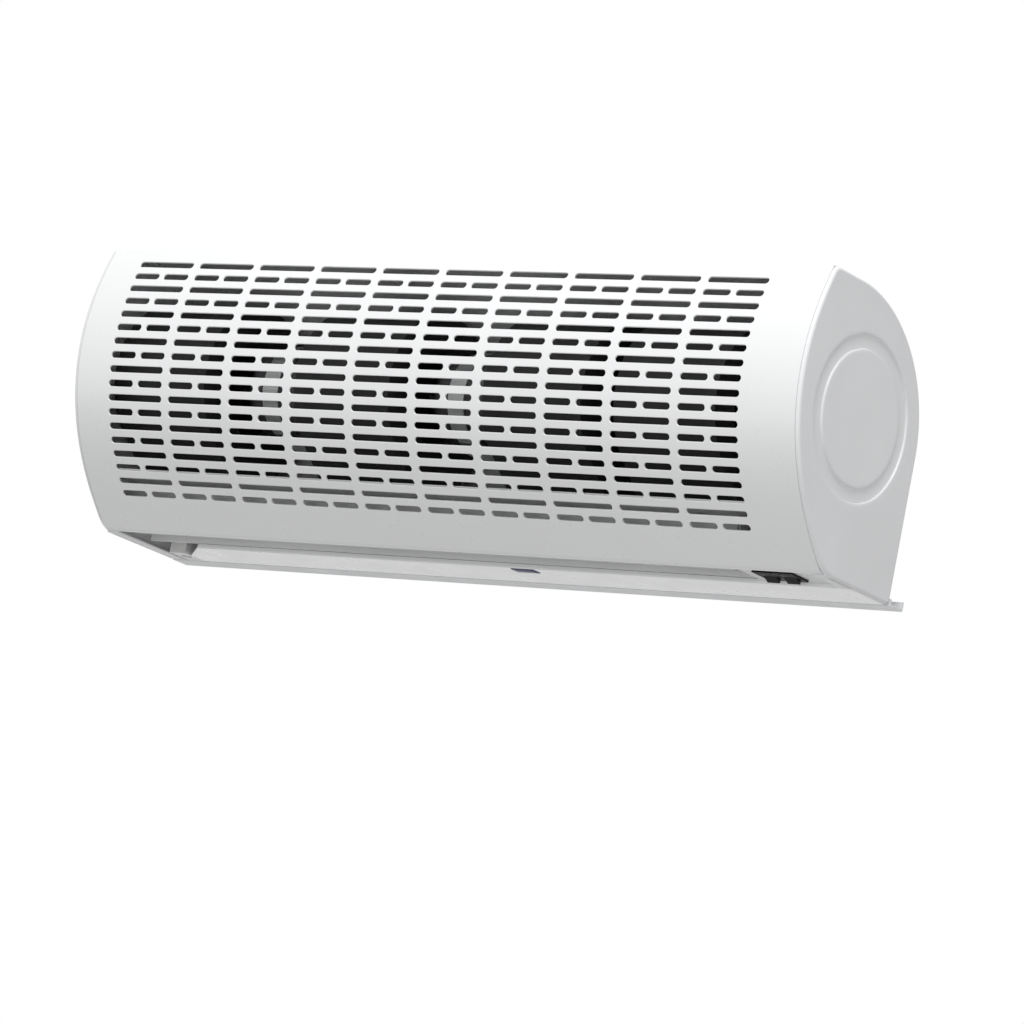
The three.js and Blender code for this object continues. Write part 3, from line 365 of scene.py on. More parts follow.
class Tree:
    """A material's node tree with short ways to add and join nodes."""

    def __init__(self, name: str) -> None:
        """Makes an empty material with its output and one Principled shader.

        Args:
            name: the material's name.
        """
        self.material = bpy.data.materials.new(name)
        self.material.use_nodes = True
        self.tree = self.material.node_tree
        self.tree.nodes.clear()
        self.shader = self.add("ShaderNodeBsdfPrincipled")
        output = self.add("ShaderNodeOutputMaterial")
        self.link(self.shader.outputs["BSDF"], output.inputs["Surface"])
        self.where = self.add("ShaderNodeTexCoord").outputs["Object"]

    def add(self, kind: str, **values: float) -> bpy.types.Node:
        """Adds a node and sets some of its inputs.

        Args:
            kind: the node's type.
            **values: input values by name, with underscores for spaces.

        Returns:
            The new node.
        """
        node = self.tree.nodes.new(kind)
        for key, value in values.items():
            node.inputs[key.replace("_", " ")].default_value = value
        return node

    def link(self, source: bpy.types.NodeSocket, target: bpy.types.NodeSocket) -> None:
        """Joins two sockets.

        Args:
            source: an output.
            target: an input.
        """
        self.tree.links.new(source, target)

    def noise(
        self, scale: float, detail: float = 3.0, stretch: tuple = (1, 1, 1)
    ) -> bpy.types.NodeSocket:
        """Noise over the object's own coordinates.

        Args:
            scale: cells per metre.
            detail: octaves.
            stretch: scale along each axis.

        Returns:
            The noise's value socket.
        """
        mapping = self.add("ShaderNodeMapping")
        mapping.inputs["Scale"].default_value = stretch
        self.link(self.where, mapping.inputs["Vector"])
        noise = self.add(
            "ShaderNodeTexNoise", Scale=scale, Detail=detail, Roughness=NOISE_ROUGHNESS
        )
        self.link(mapping.outputs["Vector"], noise.inputs["Vector"])
        return noise.outputs["Fac"]

    def ramp(
        self, source: bpy.types.NodeSocket, low: float, high: float, start: tuple, end: tuple
    ) -> bpy.types.NodeSocket:
        """A two-colour ramp.

        Args:
            source: what drives it.
            low: place of the first colour.
            high: place of the second colour.
            start: first colour, linear RGB.
            end: second colour, linear RGB.

        Returns:
            The colour socket.
        """
        node = self.add("ShaderNodeValToRGB")
        elements = node.color_ramp.elements
        elements[0].position, elements[1].position = low, high
        elements[0].color, elements[1].color = (*start, 1), (*end, 1)
        self.link(source, node.inputs["Fac"])
        return node.outputs["Color"]

    def span(
        self, source: bpy.types.NodeSocket, low: float, high: float
    ) -> bpy.types.NodeSocket:
        """Maps noise onto a range.

        Args:
            source: the noise, which lies around a half.
            low: low end of the range.
            high: high end of the range.

        Returns:
            The mapped value's socket.
        """
        node = self.add(
            "ShaderNodeMapRange", From_Min=NOISE_LOW, From_Max=NOISE_HIGH, To_Min=low, To_Max=high
        )
        self.link(source, node.inputs["Value"])
        return node.outputs["Result"]

    def bump(self, *layers: tuple) -> None:
        """Chains bumps into the shader's normal.

        Args:
            *layers: (height socket, strength, distance) of each bump.
        """
        last = None
        for height, strength, distance in layers:
            node = self.add("ShaderNodeBump", Strength=strength, Distance=distance)
            self.link(height, node.inputs["Height"])
            if last is not None:
                self.link(last, node.inputs["Normal"])
            last = node.outputs["Normal"]
        self.link(last, self.shader.inputs["Normal"])


def shade(colour: tuple, factor: float) -> tuple:
    """Makes a colour lighter or darker.

    Args:
        colour: linear RGB.
        factor: what each channel is multiplied by.

    Returns:
        The new colour, no channel over one.
    """
    return tuple(min(1.0, channel * factor) for channel in colour)


@dataclass(frozen=True)
class Coating:
    """A painted or moulded surface: cloudy colour, uneven gloss and a fine skin texture."""

    name: str
    slot: Slot
    colour: tuple
    roughness: float
    coat: float = 0.0
    cloud: float = 0.03
    cloud_scale: float = 9.0
    cloud_detail: float = 4.0
    wear_scale: float = 55.0
    wear_detail: float = 5.0
    wear_low: float = 0.86
    wear_high: float = 1.16
    grain: float = 420.0
    grain_detail: float = 2.0
    grain_depth: float = 0.00002
    grain_strength: float = 0.12
    sheen: float = 0.5
    coat_roughness: float = 0.12

    def material(self) -> bpy.types.Material:
        """Builds the material.

        Returns:
            A material whose colour, roughness and bump come from procedural nodes.
        """
        tree = Tree(self.name)
        shader = tree.shader
        cloud = tree.noise(self.cloud_scale, self.cloud_detail)
        darker, lighter = (shade(self.colour, 1 + way * self.cloud) for way in (-1, 1))
        tree.link(
            tree.ramp(cloud, CLOUD_LOW, CLOUD_HIGH, darker, lighter), shader.inputs["Base Color"]
        )
        wear = tree.noise(self.wear_scale, self.wear_detail)
        low, high = self.roughness * self.wear_low, self.roughness * self.wear_high
        tree.link(tree.span(wear, low, high), shader.inputs["Roughness"])
        shader.inputs["Specular IOR Level"].default_value = self.sheen
        shader.inputs["Coat Weight"].default_value = self.coat
        shader.inputs["Coat Roughness"].default_value = self.coat_roughness
        fine = tree.noise(self.grain, self.grain_detail)
        tree.bump((fine, self.grain_strength, self.grain_depth))
        return tree.material


@dataclass(frozen=True)
class BareMetal:
    """Plated or ground steel with drawn lines along X."""

    name: str
    slot: Slot
    colour: tuple
    roughness: float
    streak_scale: float = 300.0
    streak_detail: float = 4.0
    streak_stretch: tuple = (0.04, 1, 1)
    streak_low: float = 0.75
    streak_high: float = 1.3
    streak_strength: float = 0.15
    stain_scale: float = 24.0
    stain_detail: float = 5.0
    stain_low: float = 0.86
    stain_high: float = 1.06
    pit_scale: float = 900.0
    pit_detail: float = 2.0
    pit_strength: float = 0.08
    depth: float = 0.00002

    def material(self) -> bpy.types.Material:
        """Builds the material.

        Returns:
            A metallic material with drawn streaks in its roughness and bump.
        """
        tree = Tree(self.name)
        shader = tree.shader
        streak = tree.noise(self.streak_scale, self.streak_detail, self.streak_stretch)
        stain = tree.noise(self.stain_scale, self.stain_detail)
        darker, lighter = (shade(self.colour, f) for f in (self.stain_low, self.stain_high))
        tree.link(
            tree.ramp(stain, STAIN_LOW, STAIN_HIGH, darker, lighter), shader.inputs["Base Color"]
        )
        low, high = self.roughness * self.streak_low, self.roughness * self.streak_high
        tree.link(tree.span(streak, low, high), shader.inputs["Roughness"])
        shader.inputs["Metallic"].default_value = 1.0
        pits = tree.noise(self.pit_scale, self.pit_detail)
        tree.bump(
            (streak, self.streak_strength, self.depth), (pits, self.pit_strength, self.depth)
        )
        return tree.material


@dataclass(frozen=True)
class TintedLens:
    """Dark tinted plastic with faint cells in its colour."""

    name: str
    slot: Slot
    colour: tuple
    roughness_low: float = 0.3
    roughness_high: float = 0.4
    sheen: float = 0.15
    cell_scale: float = 700.0
    cell_detail: float = 1.0
    cell_low: float = 0.7
    cell_high: float = 1.4
    smear_scale: float = 90.0
    wave_scale: float = 60.0
    wave_strength: float = 0.04
    wave_depth: float = 0.0001

    def material(self) -> bpy.types.Material:
        """Builds the material.

        Returns:
            A dark satin material.
        """
        tree = Tree(self.name)
        shader = tree.shader
        cells = tree.noise(self.cell_scale, self.cell_detail)
        darker, lighter = (shade(self.colour, f) for f in (self.cell_low, self.cell_high))
        tree.link(
            tree.ramp(cells, CELLS_LOW, CELLS_HIGH, darker, lighter), shader.inputs["Base Color"]
        )
        smear = tree.noise(self.smear_scale)
        tree.link(
            tree.span(smear, self.roughness_low, self.roughness_high), shader.inputs["Roughness"]
        )
        shader.inputs["Specular IOR Level"].default_value = self.sheen
        tree.bump((tree.noise(self.wave_scale), self.wave_strength, self.wave_depth))
        return tree.material


WHITE_PAINT = Coating(
    "gloss_white_paint",
    Slot.PAINT,
    (0.83, 0.835, 0.84),
    0.3,
    coat=0.35,
    cloud=0.012,
    grain_strength=0.02,
)
PLATE_PAINT = Coating(
    "plate_white_paint", Slot.PAINT, (0.78, 0.79, 0.8), 0.42, cloud=0.02, grain_strength=0.02
)
CAP_PLASTIC = Coating(
    "cap_white_plastic", Slot.PLASTIC, (0.8, 0.805, 0.815), 0.42, grain=1500.0, grain_strength=0.2
)
SMALL_PLASTIC = Coating(
    "small_white_plastic", Slot.PLASTIC, (0.78, 0.78, 0.77), 0.4, grain=1800.0, grain_strength=0.25
)
VANE_PLASTIC = Coating(
    "vane_grey_plastic", Slot.PLASTIC, (0.8, 0.805, 0.81), 0.4, grain=1500.0, grain_strength=0.2
)
INNER_PAINT = Coating("inner_grey_sheet", Slot.INNER, (0.76, 0.765, 0.77), 0.5, cloud=0.03)
BLACK_MOULD = Coating(
    "black_moulding", Slot.BLACK, (0.012, 0.012, 0.013), 0.5, grain=1200.0, grain_strength=0.3
)
WHEEL_MOULD = Coating(
    "wheel_black_plastic",
    Slot.BLACK,
    (0.018, 0.018, 0.02),
    0.45,
    grain=1400.0,
    grain_strength=0.25,
)
SWITCH_MOULD = Coating(
    "switch_black_plastic",
    Slot.BLACK,
    (0.006, 0.006, 0.007),
    0.45,
    grain=2200.0,
    grain_strength=0.2,
    sheen=0.2,
)
MOTOR_STEEL = BareMetal("motor_grey_steel", Slot.MOTOR, (0.1, 0.1, 0.105), 0.5)
BRIGHT_STEEL = BareMetal("bright_ground_steel", Slot.BRIGHT, (0.6, 0.605, 0.61), 0.28)
FLOOR_PAINT = Coating("pale_floor", Slot.PAINT, (0.8, 0.8, 0.8), 0.6, cloud=0.01)
LENS = TintedLens("navy_lens", Slot.LENS, (0.004, 0.012, 0.07))

Finish = Coating | BareMetal | TintedLens


class Wardrobe:
    """Builds each finish once and dresses pieces and CAD nodes in it."""

    def __init__(self) -> None:
        """Starts with no material built."""
        self.built: dict[str, bpy.types.Material] = {}

    def material(self, finish: Finish) -> bpy.types.Material:
        """Gives the finish's material, built on first use.

        Args:
            finish: what to build.

        Returns:
            The material.
        """
        if finish.name not in self.built:
            self.built[finish.name] = finish.material()
        return self.built[finish.name]

    def dress(self, piece: bpy.types.Object, finish: Finish, body: str, *nodes: str) -> None:
        """Gives a new piece its finish, its body and the CAD nodes it stands for.

        Args:
            piece: the new object.
            finish: its finish.
            body: the CAD body it rides on.
            nodes: CAD nodes that it replaces.
        """
        piece.data.materials.clear()
        piece.data.materials.append(self.material(finish))
        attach(piece, body)
        if nodes:
            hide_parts(*nodes)
        LOG.info("%s: %d faces in %s", piece.name, len(piece.data.polygons), finish.name)

    def dress_node(self, name: str, finish: Finish) -> None:
        """Gives a CAD node that stays visible its finish.

        Args:
            name: the node's name.
            finish: its finish.
        """
        node = frame["nodes"][name]
        for slot in node.material_slots:
            slot.link = "OBJECT"
            slot.material = self.material(finish)
        LOG.info("CAD node %s in %s", name, finish.name)


# ---- Casing ------------------------------------------------------------------------------


@dataclass(frozen=True)
class Casing:
    """Driving sizes of the casing, in millimetres, as the CAD has them.

    The front is where the CAD's faceted curve reaches furthest.
    """

    half_length: float = 300.0
    top: float = 95.0
    bottom: float = -95.0
    back: float = -16.0
    front: float = -159.95
    sheet: float = 1.2
    fit: float = 0.3
    cap_wall: float = 2.8
    lip_z: float = -94.2
    lip_return: float = 3.6
    mouth_width: float = 34.0
    top_flange: float = 22.0
    lean: float = math.radians(11.2)
    radius_middle: float = 130.0
    radius_edge: float = 233.0
    reach: float = 84.0
    round_depth: float = 96.0
    round_height: float = 92.0
    curve_steps: int = 400
    outline_stride: int = 4
    riser_steps: int = 11
    base_steps: int = 14

    @property
    def shell_half(self) -> float:
        """Half length of the sheets between the caps.

        Returns:
            Millimetres along X.
        """
        return self.half_length - self.cap_wall - self.fit

    def front_curve(self, step: float = 0.5) -> tuple[Array, Array]:
        """Front curve from the top down to the lip.

        The heading grows with arc length s from mid height as s / R - k s^3, where k eases the
        radius from the middle one to the edge one; the points are its running sum.

        Args:
            step: arc length between points.

        Returns:
            Arc lengths (n,) and (y, z) points (n, 2).
        """
        bend = 1 / self.radius_middle
        ease = (bend - 1 / self.radius_edge) / (3 * self.reach**2)
        sides = []
        for sign, stop in ((-1, self.top), (1, self.lip_z)):
            s = sign * step * np.arange(self.curve_steps)
            middle = s[:-1] + sign * step / 2
            heading = self.lean + bend * middle - ease * middle**3
            y = np.concatenate([[0], np.cumsum(sign * step * np.sin(heading))])
            z = np.concatenate([[0], np.cumsum(-sign * step * np.cos(heading))])
            last = int(np.argmax(z >= stop if sign < 0 else z <= stop))
            sides.append((s[: last + 1], y[: last + 1], z[: last + 1]))
        (su, yu, zu), (sd, yd, zd) = sides
        s = np.concatenate([su[::-1], sd[1:]])
        y = np.concatenate([yu[::-1], yd[1:]])
        z = np.concatenate([zu[::-1], zd[1:]])
        z[0], z[-1] = self.top, self.lip_z
        return s, np.stack([y - y.min() + self.front, z], axis=1)

    @property
    def curve_end(self) -> Array:
        """Lower end of the front curve.

        Returns:
            Its (y, z).
        """
        return self.front_curve()[1][-1]

    @property
    def mouth(self) -> tuple[float, float]:
        """Front and rear edge of the mouth.

        Returns:
            The two y values.
        """
        front = self.curve_end[0] + self.lip_return
        return front, front + self.mouth_width

    def back_round(self, steps: int = 40) -> Array:
        """Quarter ellipse from the back up to the top.

        Args:
            steps: pieces of the curve.

        Returns:
            (steps + 1, 2) points.
        """
        angle = np.linspace(0, QUARTER_TURN, steps + 1)
        y = self.back - self.round_depth * (1 - np.cos(angle))
        z = self.top - self.round_height * (1 - np.sin(angle))
        return np.stack([y, z], axis=1)

    def outline(self) -> Array:
        """Whole side outline, counter-clockwise in (y, z) from the bottom rear corner.

        Returns:
            (n, 2) points.
        """
        curve = self.front_curve()[1][:: self.outline_stride]
        end = np.array([[self.mouth[0] + self.sheet, self.bottom]])
        start = np.array([[self.back, self.bottom]])
        heights = np.linspace(self.bottom, self.top - self.round_height, self.riser_steps)[1:-1]
        riser = np.stack([np.full(len(heights), self.back), heights], axis=1)
        base = np.linspace(end[0], start[0], self.base_steps)[1:-1]
        return np.vstack([start, riser, self.back_round(), curve, self.curve_end[None], end, base])


CASING = Casing()


@dataclass
class FrontCover:
    """Bent sheet with rows of rounded slots, a flange over the top and a return at the lip."""

    casing: Casing = CASING
    row_pitch: float = 9.85
    column_pitch: float = 52.78
    slot_long: float = 47.2
    slot_short: float = 21.6
    slot_height: float = 4.6
    top_margin: float = 14.4
    left_margin: float = 30.9
    rows: int = 18
    columns: int = 10
    bend: float = 1.8
    bend_steps: int = 6
    lip_bend: float = 3.0
    lip_steps: int = 8
    lip_share: float = 0.9
    arc_points: int = 9
    slot_edge: tuple = ((0.5, 0), (0.32, 0), (0.1, 0.08), (0.0, 0.3))
    row_gap: float = 0.2
    sharp: float = 50.0

    def profile(self) -> tuple[Array, Array, float]:
        """Outer line of the sheet from the flange's edge to the return's edge.

        Returns:
            Arc lengths from the flange's edge, (y, z) points, and what turns an arc length
            counted from mid height into one counted from the flange's edge.
        """
        s, curve = self.casing.front_curve()
        step = s[1] - s[0]
        keep = slice(int(self.bend / step), -int(self.lip_bend / step))
        body, body_s = curve[keep], s[keep]
        flange = np.array([curve[0, 0] + self.casing.top_flange, self.casing.top])
        lip = np.array([self.casing.mouth[0], self.casing.lip_z])
        upper = rounded(np.array([flange, curve[0], body[0]]), self.bend, self.bend_steps)[:-1]
        corner = np.array([body[-1], curve[-1], lip])
        lower = rounded(corner, self.lip_bend, self.lip_steps, self.lip_share)[1:]
        line = np.vstack([upper, body, lower])
        lengths = arc_lengths(line)
        return lengths, line, lengths[len(upper)] - body_s[0]

    def placer(self) -> Callable[[Array, Array, Array], Array]:
        """Makes the function that bends flat sheet places.

        Returns:
            A function of x, arc length and depth arrays that gives places on the bent sheet.
        """
        lengths, line, _ = self.profile()
        inward = left_normals(line)

        def place(x: Array, s: Array, depth: Array) -> Array:
            """Places points on the sheet.

            Args:
                x: along the unit.
                s: arc length from the flange's edge.
                depth: below the outer face.

            Returns:
                Places with a last axis of three.
            """
            y, z = (np.interp(s, lengths, line[:, k]) for k in (0, 1))
            ny, nz = (np.interp(s, lengths, inward[:, k]) for k in (0, 1))
            return np.stack([x + 0 * s, y + ny * depth, z + nz * depth], axis=-1)

        return place

    def slot_rings(self, half_width: float, half_slot: float, middle: bool) -> list[tuple]:
        """Rings of one slot cell, from the cell's border to the slot's wall and the back.

        Args:
            half_width: half the cell's width.
            half_slot: half the slot's length.
            middle: whether the ring has a point at its middle, above and below.

        Returns:
            Rings as (x, s, depth) arrays about the cell's middle.
        """
        half_row, radius = self.row_pitch / 2, self.slot_height / 2
        angle = np.linspace(-math.pi / 2, math.pi / 2, self.arc_points)
        side = np.linspace(-half_row, half_row, self.arc_points)
        extra = np.array([0.0]) if middle else np.array([])

        def ring(x: Array, s: Array, edge: float) -> tuple[Array, Array]:
            """Closes a ring from its right-hand half.

            Args:
                x: right half's places along the unit.
                s: right half's arc lengths.
                edge: half the ring's height, for the points at its middle.

            Returns:
                The whole ring's x and s.
            """
            top, low = extra * 0 + edge, extra * 0 - edge
            return (
                np.concatenate([x, extra, -x[::-1], extra]),
                np.concatenate([s, top, s[::-1], low]),
            )

        rings = [(*ring(np.full(len(side), half_width), side, half_row), 0.0)]
        sheet = self.casing.sheet
        for grow, depth in (*self.slot_edge, (0.0, sheet)):
            r = radius + grow
            x = half_slot - radius + r * np.cos(angle)
            rings.append((*ring(x, r * np.sin(angle), r), depth))
        rings.append((*rings[0][:2], sheet))
        return rings

    def start(self) -> tuple[float, float]:
        """Where the grille starts.

        Returns:
            Arc length of the first row's middle, and x of the grille's left border.
        """
        _, _, shift = self.profile()
        top = self.casing.front_curve()[0][0] + shift
        left = -self.casing.half_length + self.left_margin + self.slot_long / 2
        return top + self.top_margin, left - self.column_pitch / 2

    def grille(self, surface: Surface) -> None:
        """Adds every slot's cell: its border, softened edge, wall and back.

        Args:
            surface: where the faces go.
        """
        place = self.placer()
        first_row, left = self.start()
        cell = self.column_pitch / 2
        for row in range(self.rows):
            long = row % 2 == 0
            half_width = cell if long else cell / 2
            half_slot = (self.slot_long if long else self.slot_short) / 2
            count = self.columns if long else 2 * self.columns
            centres = left + half_width + 2 * half_width * np.arange(count)
            offset = (cell - half_width) - (self.slot_long - self.slot_short) / 2
            nudge = np.where(np.arange(count) % 2 == 0, offset, -offset)
            if long:
                nudge = np.zeros(count)
            rings = self.slot_rings(half_width, half_slot, long)
            middle_s = first_row + row * self.row_pitch
            for centre, move in zip(centres, nudge):
                moved = [0.0, *[move] * (len(rings) - 2), 0.0]
                grid = [
                    place(centre + x + shift_x, middle_s + s, np.full(len(x), depth))
                    for (x, s, depth), shift_x in zip(rings, moved)
                ]
                surface.grid(np.stack(grid), closed=True, flip=True)

    def margins(self, surface: Surface) -> None:
        """Adds the plain sheet round the grille and the sheet's own edges.

        Args:
            surface: where the faces go.
        """
        casing, place = self.casing, self.placer()
        lengths, _, _ = self.profile()
        first_row, left = self.start()
        cell, half, sheet = self.column_pitch / 2, casing.shell_half, casing.sheet
        columns = left + cell * np.arange(2 * self.columns + 1)
        x_lines = np.concatenate([[-half], columns, [half]])
        top = first_row - self.row_pitch / 2
        low = first_row + (self.rows - 0.5) * self.row_pitch
        s_rows = np.linspace(top, low, self.rows * (self.arc_points - 1) + 1)
        s_above = np.append(lengths[lengths < top - self.row_gap], top)
        s_below = np.insert(lengths[lengths > low + self.row_gap], 0, low)
        for depth, flip in ((0.0, False), (sheet, True)):
            for s_line, xs in (
                (s_above, x_lines),
                (s_below, x_lines),
                (s_rows, x_lines[:2]),
                (s_rows, x_lines[-2:]),
            ):
                grid_x, grid_s = np.meshgrid(xs, s_line)
                surface.grid(place(grid_x, grid_s, np.full(grid_x.shape, depth)), flip=flip)

        def edge(x: Array, s: Array, axis: int) -> Array:
            """Grid across the sheet's thickness along one of its edges.

            Args:
                x: the edge's places along the unit.
                s: the edge's arc lengths.
                axis: which axis of the grid crosses the thickness.

            Returns:
                The grid.
            """
            return np.stack([place(x, s, np.full(len(x), depth)) for depth in (0, sheet)], axis)

        s_all = np.concatenate([s_above, s_rows[1:], s_below[1:]])
        for x, flip in ((-half, False), (half, True)):
            surface.grid(edge(np.full(len(s_all), x), s_all, 1), flip=flip)
        for s_end, flip in ((lengths[0], True), (lengths[-1], False)):
            surface.grid(edge(x_lines, np.full(len(x_lines), s_end), 0), flip=flip)

    def build(self) -> bpy.types.Object:
        """Makes the cover.

        Returns:
            The new object.
        """
        surface = Surface()
        self.grille(surface)
        self.margins(surface)
        return surface.piece("cover_skin", self.sharp)


@dataclass
class BodySheets:
    """Rear shell and base panel, with bends where the sheet turns."""

    casing: Casing = CASING
    base_edge: float = 3.0
    cord_bay: float = 30.0
    corner_cut: float = 26.0
    bend: float = 1.4
    riser: tuple = (-80.0, -5.0)
    riser_steps: int = 6
    round_steps: int = 48
    x_steps: int = 9
    sharp: float = 50.0

    def rear_shell(self) -> bpy.types.Object:
        """Makes the shell over the top and down the back.

        Returns:
            The new object.
        """
        c = self.casing
        top_y = c.front_curve()[1][0, 0] + c.top_flange + c.fit
        start = np.array([[c.back, c.bottom + c.sheet + c.fit]])
        riser = np.array([[c.back, z] for z in np.linspace(*self.riser, self.riser_steps)])
        line = np.vstack([start, riser, c.back_round(self.round_steps), [[top_y, c.top]]])
        surface = Surface()
        xs = np.linspace(-c.shell_half, c.shell_half, self.x_steps)
        swept_sheet(surface, line, c.sheet, xs)
        return surface.piece("shell_skin", self.sharp)

    def base_panel(self, window: tuple) -> bpy.types.Object:
        """Makes the panel behind the mouth, its corner beside the cord's clamp cut off.

        Args:
            window: low x, high x, low y and high y of the indicator's window.

        Returns:
            The new object.
        """
        c = self.casing
        x0, x1, y0, y1 = window
        rear = c.back - c.sheet - c.fit
        front = c.mouth[1]
        turn = front + self.corner_cut
        surface = Surface()
        left, right = -c.half_length + self.cord_bay, c.shell_half
        edge = np.array([[front, c.bottom + self.base_edge], [front, c.bottom], [y0, c.bottom]])
        edge = rounded(edge, self.bend)
        inner = edge + left_normals(edge) * c.sheet
        inner[-1] = [y0, c.bottom + c.sheet]
        xs = np.array([left, x0, x1, right])
        surface.grid(along_x(edge, xs))
        surface.grid(along_x(inner, xs), flip=True)
        surface.grid(along_x(np.array([edge[0], inner[0]]), xs), flip=True)
        for z, flip in ((c.bottom, False), (c.bottom + c.sheet, True)):
            for span in ((left, x0), (x1, right)):
                surface.grid(along_x(np.array([[y0, z], [y1, z]]), np.array(span)), flip=flip)
            surface.grid(along_x(np.array([[y1, z], [turn, z], [rear, z]]), xs), flip=flip)
        low, high = c.bottom, c.bottom + c.sheet
        surface.grid(along_x(np.array([[rear, low], [rear, high]]), xs))
        for y, flip in ((y0, False), (y1, True)):
            surface.grid(along_x(np.array([[y, low], [y, high]]), np.array([x0, x1])), flip=flip)
        for x, flip in ((x0, False), (x1, True)):
            wall = np.array([[[x, y0, low], [x, y0, high]], [[x, y1, low], [x, y1, high]]])
            surface.grid(wall, flip=flip)
        flat = np.array([[y0, low], [y1, low], [turn, low], [rear, low]])
        for x, flip in ((left, True), (right, False)):
            line = np.vstack([edge, flat[1:]])
            other = np.vstack([inner, flat[1:] + [0, c.sheet]])
            surface.grid(edge_grid(line, other, x), flip=not flip)
        for points in surface.points:
            cut = np.clip(turn - points[:, 1], 0, self.corner_cut)
            points[:, 0] += np.where(points[:, 0] == left, cut, 0)
        return surface.piece("base_skin", self.sharp)


@dataclass
class EndCap:
    """Moulded cap with a softened edge, a sunk ring round a plateau, a rim and a foot."""

    side: int
    centre: tuple
    casing: Casing = CASING
    ring_inner: float = 44.0
    ring_outer: float = 54.0
    ring_depth: float = 1.4
    ring_soft: float = 0.1
    edge: float = 2.2
    edge_steps: int = 5
    edge_land: float = 0.5
    corner: float = 5.0
    lip_corner: float = 10.0
    lip_height: float = 1.0
    foot_width: float = 9.0
    foot_rear: float = -17.5
    foot_corner: float = 0.8
    foot_edge: float = 0.3
    rim_depth: float = 9.0
    rim_wall: float = 1.6
    rim_low: float = -58.0
    rim_front: float = 7.2
    sharp: float = 46.0

    def ring(self) -> list[tuple[float, float]]:
        """Section of the face from outside the ring to the plateau's middle.

        Returns:
            (radius, x) points.
        """
        out = self.casing.half_length
        floor = out - self.ring_depth
        return [
            (self.ring_outer + 3, out),
            (self.ring_outer + 0.9, out),
            (self.ring_outer + 0.6, out - self.ring_soft),
            (self.ring_outer + 0.1, floor + self.ring_soft),
            (self.ring_outer - 0.3, floor),
            (self.ring_inner + 1.3, floor),
            (self.ring_inner + 0.9, floor + self.ring_soft),
            (self.ring_inner + 0.3, out - self.ring_soft),
            (self.ring_inner, out),
            (self.ring_inner - 2, out),
            (self.ring_inner / 2, out),
        ]

    def build(self) -> bpy.types.Object:
        """Makes the cap.

        Returns:
            The new object.
        """
        c, side = self.casing, self.side
        outline = c.outline()
        at_lip = (outline[:, 1] < c.lip_z + self.lip_height) & (outline[:, 0] < c.mouth[0])
        outline = rounded_corners(outline, np.where(at_lip, self.lip_corner, self.corner))
        inward = left_normals(outline, closed=True)
        out, back = c.half_length, c.half_length - c.cap_wall
        centre = np.array(self.centre)
        away = outline - centre
        away /= np.linalg.norm(away, axis=1)[:, None]

        def loop(x: float, yz: Array) -> Array:
            """Sets a loop of points at one x, mirrored for the left cap.

            Args:
                x: place along X, as on the right cap.
                yz: (n, 2) points.

            Returns:
                (n, 3) points.
            """
            return np.column_stack([np.full(len(yz), side * x), yz])

        rows = [loop(back, outline), loop(out - self.edge, outline)]
        for angle in np.linspace(0, QUARTER_TURN, self.edge_steps + 1)[1:]:
            inset = self.edge * (1 - math.cos(angle))
            rows.append(loop(out - self.edge * (1 - math.sin(angle)), outline + inward * inset))
        rows.append(loop(out, outline + inward * (self.edge + self.edge_land)))
        rows += [loop(x, centre + away * radius) for radius, x in self.ring()]
        surface = Surface()
        flip = side > 0
        surface.grid(np.stack(rows), closed=True, flip=not flip)
        surface.fan(rows[-1], np.array([side * out, *centre]), flip=not flip)
        inner = [loop(back, outline), loop(back, centre + away * self.ring_outer)]
        surface.grid(np.stack(inner), closed=True, flip=flip)
        surface.fan(inner[-1], np.array([side * back, *centre]), flip=flip)
        self.rim(surface)
        self.foot(surface)
        name = "cap_skin_right" if side > 0 else "cap_skin_left"
        return surface.piece(name, self.sharp)

    def foot(self, surface: Surface) -> None:
        """Adds the foot that closes the underside next to the cap.

        Args:
            surface: where the faces go.
        """
        c = self.casing
        rear = self.foot_rear if self.side < 0 else c.mouth[1] - c.fit
        inner = self.side * (c.half_length - c.cap_wall - self.foot_width)
        outer = self.side * (c.half_length - c.cap_wall / 2)
        low = np.array([min(inner, outer), c.mouth[0] + c.fit, c.bottom])
        high = np.array([max(inner, outer), rear, c.bottom + c.sheet])
        soft_block(surface, low, high, self.foot_corner, self.foot_edge)

    def rim(self, surface: Surface) -> None:
        """Adds the rim that the sheets slide over, from the lip over the top to the baffle.

        Args:
            surface: where the faces go.
        """
        c = self.casing
        outline = c.outline()
        low = outline[:, 1] < self.rim_low
        keep = ~(low & (outline[:, 0] > c.mouth[0] - self.rim_front))
        start = int(np.argmax(keep & ~np.roll(keep, 1)))
        path = np.roll(outline, -start, axis=0)[: int(keep.sum())]
        inward = left_normals(path)
        outer = path + inward * (c.sheet + c.fit)
        inner = outer + inward * self.rim_wall
        root = self.side * (c.half_length - c.cap_wall)
        end = self.side * (c.half_length - c.cap_wall - self.rim_depth)
        loop = [(outer, root), (outer, end), (inner, end), (inner, root)]
        grid = np.stack([np.column_stack([np.full(len(yz), x), yz]) for yz, x in loop])
        surface.grid(grid, flip=self.side > 0)
        for index in (0, -1):
            strip = np.array([[grid[0, index], grid[3, index]], [grid[1, index], grid[2, index]]])
            surface.grid(strip, flip=(index == 0) == (self.side > 0))


